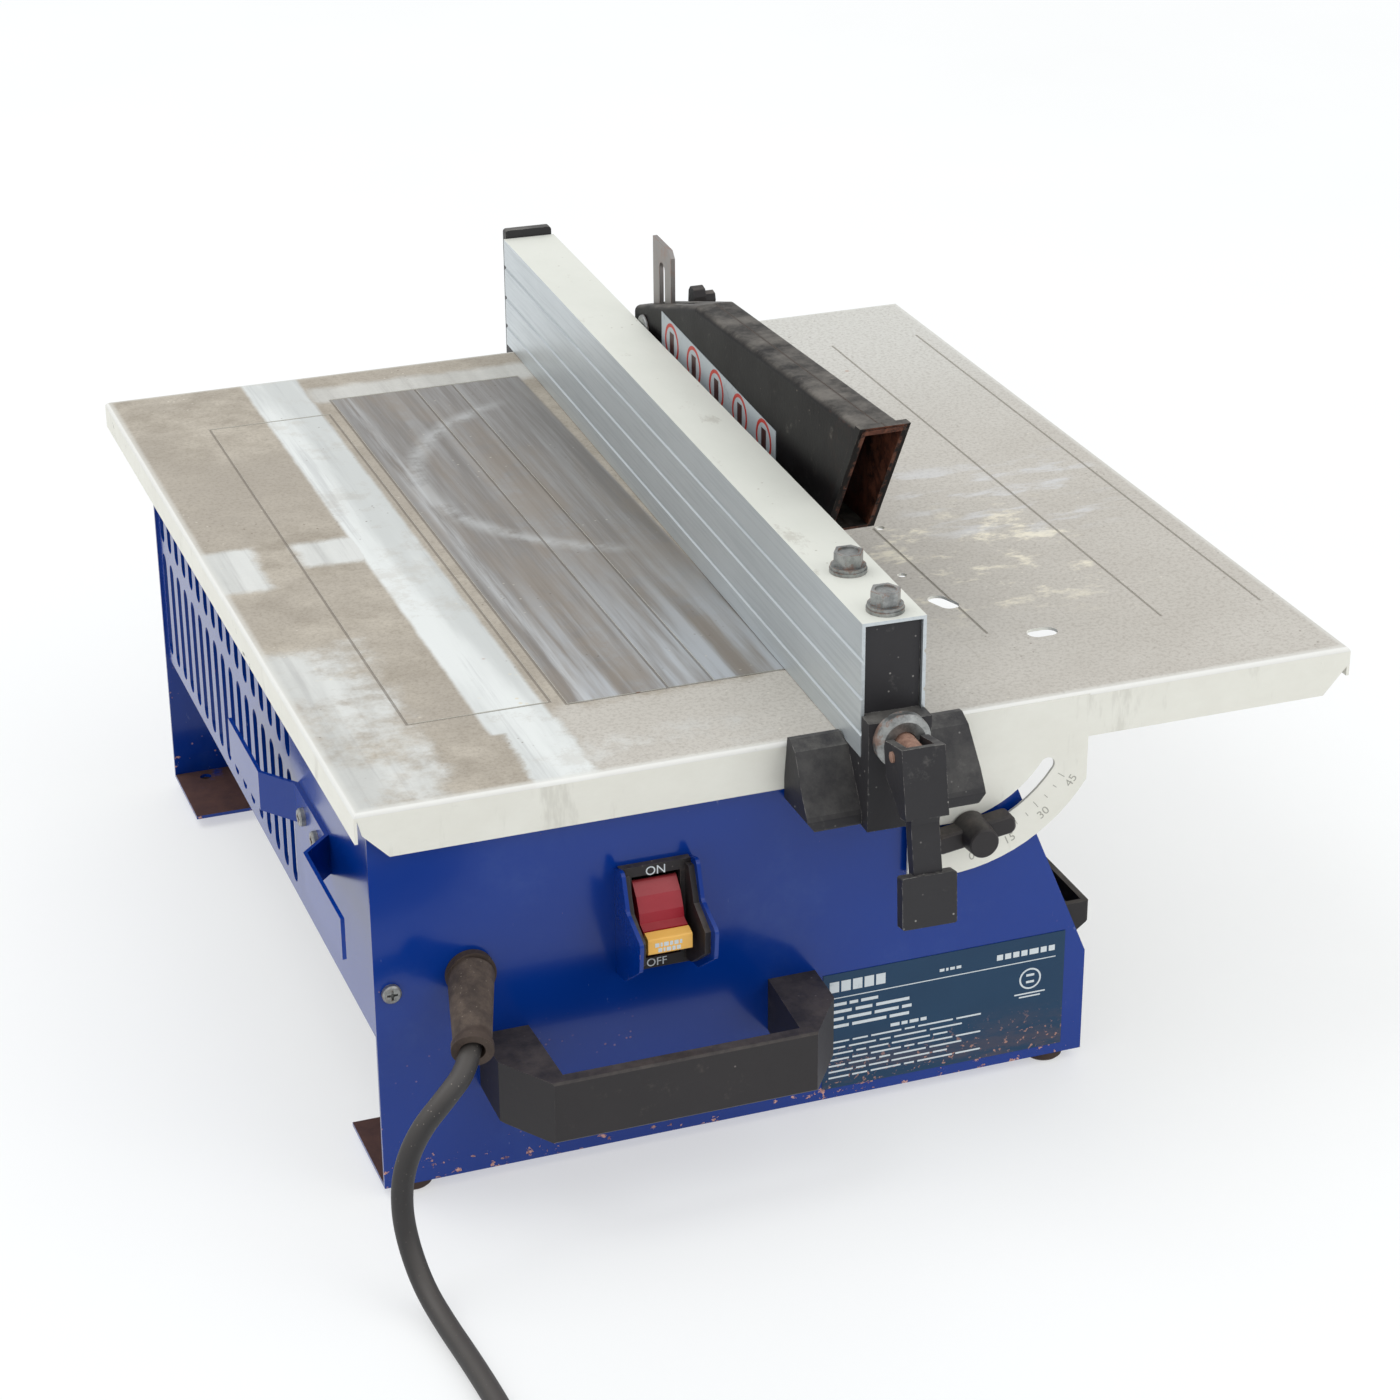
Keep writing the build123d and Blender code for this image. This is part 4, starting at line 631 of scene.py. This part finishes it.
def coil_points():
    """Turns beside and on each other; each one eases to the next over its first quarter."""
    low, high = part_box("cord_coil")
    centre = (low + high) / 2 / MM
    points = []
    turns = COIL_TURNS + [(46, 30)]
    for index, (radius, height) in enumerate(turns):
        before = turns[max(index - 1, 0)]
        steps = COIL_STEPS if index < len(COIL_TURNS) else COIL_STEPS // 4
        for step in range(steps):
            ease = min(1.0, step / (COIL_STEPS / 4))
            ease = ease * ease * (3 - 2 * ease)
            reach = before[0] + (radius - before[0]) * ease
            level = before[1] + (height - before[1]) * ease
            angle = math.pi + 2 * math.pi * step / COIL_STEPS
            points.append((centre.x + reach * math.cos(angle), centre.y + reach * math.sin(angle), level))
    return points


def plug_entry():
    """Two points on the plug's axis, ending in its neck."""
    low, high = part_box("plug_body")
    y, z = (low.y + high.y) / 2 / MM, (low.z + high.z) / 2 / MM
    x = low.x / MM
    return [(x - 12, y + 0.5, z - 1), (x + 1, y, z)]


def add_mains_lead():
    curve = bpy.data.curves.new("mains_lead", "CURVE")
    curve.dimensions = "3D"
    curve.bevel_depth = CORD_DIAMETER / 2
    curve.bevel_resolution = 6
    curve.resolution_u = 8
    curve.use_fill_caps = True
    points = CORD_ROUTE + coil_points() + plug_entry()
    spline = curve.splines.new("NURBS")
    spline.points.add(len(points) - 1)
    for target, point in zip(spline.points, points):
        target.co = (*(value * MM for value in point), 1.0)
    spline.order_u = 3
    spline.use_endpoint_u = True
    lead = bpy.data.objects.new("mains_lead", curve)
    bpy.context.scene.collection.objects.link(lead)
    curve.materials.append(MATERIALS["cord_rubber"])
    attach(lead, "root")
    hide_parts("power_cord", "cord_coil")


add_mains_lead()


# ---------------------------------------------------------------- printed and engraved marks
def add_mesh(name, vertices, faces, material, body):
    mesh = bpy.data.meshes.new(name)
    mesh.from_pydata(vertices, [], faces)
    mesh.validate()
    mesh.materials.append(material)
    made = bpy.data.objects.new(name, mesh)
    bpy.context.scene.collection.objects.link(made)
    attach(made, body)
    return made


def thin_box(vertices, faces, corner, across, up, out):
    """Adds a closed block: corner plus three edge vectors."""
    start = len(vertices)
    for k in (0, 1):
        for j in (0, 1):
            for i in (0, 1):
                vertices.append(tuple(corner + across * i + up * j + out * k))
    for face in ((0, 2, 3, 1), (4, 5, 7, 6), (0, 1, 5, 4), (2, 6, 7, 3), (0, 4, 6, 2), (1, 3, 7, 5)):
        faces.append(tuple(start + index for index in face))


def add_ring(vertices, faces, centre, axis, outer, inner, thickness, steps=40):
    """Adds a flat washer that faces along axis."""
    side = axis.orthogonal().normalized()
    other = axis.cross(side)
    start = len(vertices)
    for lift in (0.0, thickness):
        for radius in (outer, inner):
            for step in range(steps):
                angle = 2 * math.pi * step / steps
                spoke = side * math.cos(angle) + other * math.sin(angle)
                vertices.append(tuple(centre + spoke * radius + axis * lift))
    for step in range(steps):
        after = (step + 1) % steps
        base_out, base_in, top_out, top_in = (start + steps * row for row in range(4))
        faces.append((top_out + step, top_out + after, top_in + after, top_in + step))
        faces.append((base_in + step, base_in + after, base_out + after, base_out + step))
        faces.append((base_out + step, base_out + after, top_out + after, top_out + step))
        faces.append((top_in + step, top_in + after, base_in + after, base_in + step))


def add_label_print():
    """A heading bar, a rule, rows of short bars and a plain ring: no lettering."""
    low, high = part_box("rating_label")
    vertices, faces = [], []
    out = Vector((0, -0.06 * MM, 0))
    face = low.y

    def bar(x0, x1, z0, z1):
        corner = Vector((low.x + x0 * MM, face, high.z - z1 * MM))
        thin_box(vertices, faces, corner, Vector(((x1 - x0) * MM, 0, 0)), Vector((0, 0, (z1 - z0) * MM)), out)

    def words(x0, x1, z0, z1, lengths):
        """A line of short bars with gaps, as wide as x0..x1."""
        unit = (x1 - x0) / (sum(lengths) + 0.7 * (len(lengths) - 1))
        for length in lengths:
            bar(x0, x0 + length * unit, z0, z1)
            x0 += (length + 0.7) * unit

    words(2.6, 25.5, 3.4, 8.0, (3, 3, 3, 3, 3))
    bar(2.6, 97.0, 10.4, 10.8)
    words(72.0, 96.5, 5.4, 7.8, (2, 2, 2, 2, 3, 2, 2))
    words(48.0, 57.0, 6.6, 7.8, (2, 1, 2, 2))
    rows = ((20.0, (4, 2, 4)), (33.0, (4, 3, 6)), (34.0, (3, 5, 5, 2)), (33.0, (4, 7, 4)))
    for row, (width, lengths) in enumerate(rows):
        words(2.6, 2.6 + width, 12.8 + row * 3.2, 14.1 + row * 3.2, lengths)
    words(28.0, 43.0, 26.4, 27.8, (3, 2, 3, 2))
    for row in range(7):
        lengths = ((4, 3, 6, 2, 7, 5), (3, 5, 2, 6, 6), (5, 2, 4, 8, 3))[row % 3]
        words(2.6, (66.0, 58.0, 52.0)[row % 3], 29.6 + row * 2.6, 30.3 + row * 2.6, lengths)
    centre = Vector((low.x + 86.5 * MM, face, high.z - 18.5 * MM))
    add_ring(vertices, faces, centre, Vector((0, -1, 0)), 4.6 * MM, 3.9 * MM, 0.06 * MM)
    bar(84.8, 88.2, 16.4, 17.4)
    bar(84.8, 88.2, 19.4, 20.4)
    bar(80.0, 93.0, 24.6, 25.2)
    bar(82.0, 91.0, 26.0, 26.6)
    add_mesh("rating_label_print", vertices, faces, PRINT_WHITE, "root")


def add_guard_signs():
    """Five plain red rings with a dark bar in each, along the guard's left face."""
    low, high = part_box("guard_label")
    face = low.x
    rings, ring_faces, bars, bar_faces = [], [], [], []
    axis = Vector((-1, 0, 0))
    start = Vector((face, high.y - 13 * MM, 0.2157))
    span = (high.y - low.y) - 26 * MM
    for index in range(5):
        share = index / 4
        centre = start + Vector((0, -span * share, -0.0052 * share))
        add_ring(rings, ring_faces, centre, axis, 8.6 * MM, 7.0 * MM, 0.05 * MM)
        thin_box(bars, bar_faces, centre + Vector((0, -2.6 * MM, -5.0 * MM)), Vector((0, 5.2 * MM, 0)),
                 Vector((0, 0, 9.6 * MM)), Vector((-0.05 * MM, 0, 0)))
    add_mesh("guard_sign_rings", rings, ring_faces, PRINT_RED, "guard")
    add_mesh("guard_sign_figures", bars, bar_faces, PRINT_DARK, "guard")


def add_text(name, text, size, place, turn, material, body, thickness=0.05 * MM):
    """Raised lettering: ON, OFF and scale numbers only."""
    curve = bpy.data.curves.new(name, "FONT")
    curve.body = text
    curve.size = size
    curve.align_x = "CENTER"
    curve.align_y = "CENTER"
    curve.extrude = thickness
    curve.resolution_u = 4
    text_object = bpy.data.objects.new(name + "_curve", curve)
    bpy.context.scene.collection.objects.link(text_object)
    text_object.matrix_world = Matrix.Translation(place) @ turn
    bpy.context.view_layer.update()
    mesh = bpy.data.meshes.new_from_object(text_object.evaluated_get(bpy.context.evaluated_depsgraph_get()))
    mesh.transform(text_object.matrix_world)
    bpy.data.objects.remove(text_object)
    mesh.materials.clear()
    mesh.materials.append(material)
    made = bpy.data.objects.new(name, mesh)
    bpy.context.scene.collection.objects.link(made)
    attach(made, body)


FACING_FRONT = Matrix.Rotation(math.pi / 2, 4, "X")


def add_switch_words():
    low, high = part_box("switch_housing")
    x = (low.x + high.x) / 2
    face = -0.184 - 0.03 * MM
    add_text("switch_on_mark", "ON", 5.0 * MM, Vector((x, face, high.z - 2.7 * MM)), FACING_FRONT,
             PRINT_WHITE, "root")
    add_text("switch_off_mark", "OFF", 4.6 * MM, Vector((x, face, low.z + 2.2 * MM)), FACING_FRONT,
             PRINT_WHITE, "root")


def add_key_marks():
    """Two rows of short raised bars on the key's face."""
    low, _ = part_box("safety_key")
    vertices, faces = [], []
    for row, lengths in enumerate(((1.6, 0.8, 1.8, 1.2, 1.6, 0.9), (1.5, 0.7, 1.7, 1.2, 1.5))):
        x = low.x + (2.6 + row * 1.2) * MM
        for length in lengths:
            corner = Vector((x, low.y, low.z + (3.6 - row * 2.2) * MM))
            thin_box(vertices, faces, corner, Vector((length * MM, 0, 0)), Vector((0, 0, 1.6 * MM)),
                     Vector((0, -0.08 * MM, 0)))
            x += (length + 0.5) * MM
    add_mesh("key_bars", vertices, faces, PRINT_WHITE, "safety_key")


STUD_ANGLE = -81.0              # where the clamp stud sits in its slot, round the tilt axis
TICK_END = 58.0                 # mm from the tilt axis to the ticks' outer ends
TICK_START = 56.0
LONG_TICK_START = 54.6
NUMBER_REACH = 61.6             # mm from the tilt axis to the middle of each number


def add_tilt_scale():
    """Degree numbers and ticks on the front quadrant."""
    low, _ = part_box("table_top")
    face = low.y - 0.02 * MM
    vertices, faces = [], []
    for tilt in range(0, 50, 5):
        angle = math.radians(STUD_ANGLE + tilt)
        direction = Vector((math.cos(angle), 0, math.sin(angle)))
        reach = TICK_START if tilt % 15 else LONG_TICK_START
        across = Vector((-direction.z, 0, direction.x)) * 0.3 * MM
        corner = Vector((BLADE_X, face, TABLE_Z)) + direction * reach * MM - across / 2
        along = direction * (TICK_END - reach) * MM
        thin_box(vertices, faces, corner, across, along, Vector((0, -0.03 * MM, 0)))
    add_mesh("tilt_scale_ticks", vertices, faces, ENGRAVED, "table")
    for tilt in (0, 15, 30, 45):
        angle = math.radians(STUD_ANGLE + tilt)
        reach = NUMBER_REACH * MM
        place = Vector((BLADE_X + reach * math.cos(angle), face, TABLE_Z + reach * math.sin(angle)))
        turn = Matrix.Rotation(-(angle + math.pi / 2), 4, "Y") @ FACING_FRONT
        add_text(f"tilt_scale_{tilt}", str(tilt), 5.0 * MM, place, turn, ENGRAVED, "table",
                 0.02 * MM)


add_label_print()
add_guard_signs()
add_switch_words()
add_key_marks()
add_tilt_scale()


# ---------------------------------------------------------------- floor and light
FLOOR_HALF = 40.0
HORIZON_STRENGTH = 0.45
ZENITH_STRENGTH = 1.15


def add_floor():
    size = FLOOR_HALF
    mesh = bpy.data.meshes.new("floor")
    mesh.from_pydata([(-size, -size, 0), (size, -size, 0), (size, size, 0), (-size, size, 0)], [],
                     [(0, 1, 2, 3)])
    s = Shader("floor_white")
    s.set(Base_Color=s.mix(s.noise(3, 3), srgb(172, 174, 174), srgb(182, 184, 184)))
    s.set(Roughness=0.6)
    s.set(Emission_Color=(1.0, 1.0, 1.0, 1.0))
    s.set(Emission_Strength=0.5)
    mesh.materials.append(s.material)
    floor = bpy.data.objects.new("floor", mesh)
    floor.location.z = -0.0002
    bpy.context.scene.collection.objects.link(floor)


def add_light(name, place, aim, size, power):
    data = bpy.data.lights.new(name, "AREA")
    data.shape = "DISK"
    data.size = size
    data.energy = power
    lamp = bpy.data.objects.new(name, data)
    bpy.context.scene.collection.objects.link(lamp)
    lamp.location = place
    lamp.rotation_euler = (Vector(aim) - Vector(place)).to_track_quat("-Z", "Y").to_euler()


def add_world():
    """A soft white tent, brighter overhead than at the horizon."""
    world = bpy.data.worlds.new("studio")
    world.use_nodes = True
    tree = world.node_tree
    split = tree.nodes.new("ShaderNodeSeparateXYZ")
    tree.links.new(tree.nodes.new("ShaderNodeTexCoord").outputs["Generated"], split.inputs[0])
    ramp = tree.nodes.new("ShaderNodeMapRange")
    tree.links.new(split.outputs["Z"], ramp.inputs["Value"])
    ramp.inputs["To Min"].default_value = HORIZON_STRENGTH
    ramp.inputs["To Max"].default_value = ZENITH_STRENGTH
    background = tree.nodes["Background"]
    background.inputs["Color"].default_value = (0.98, 0.99, 1.0, 1.0)
    tree.links.new(ramp.outputs["Result"], background.inputs["Strength"])
    bpy.context.scene.world = world


add_floor()
add_world()
add_light("key", (-1.2, 0.6, 2.4), (0, 0, 0.1), 1.6, 16)
add_light("fill", (1.4, -1.6, 1.6), (0, 0, 0.1), 1.8, 9)
bpy.context.scene.view_settings.view_transform = "Standard"
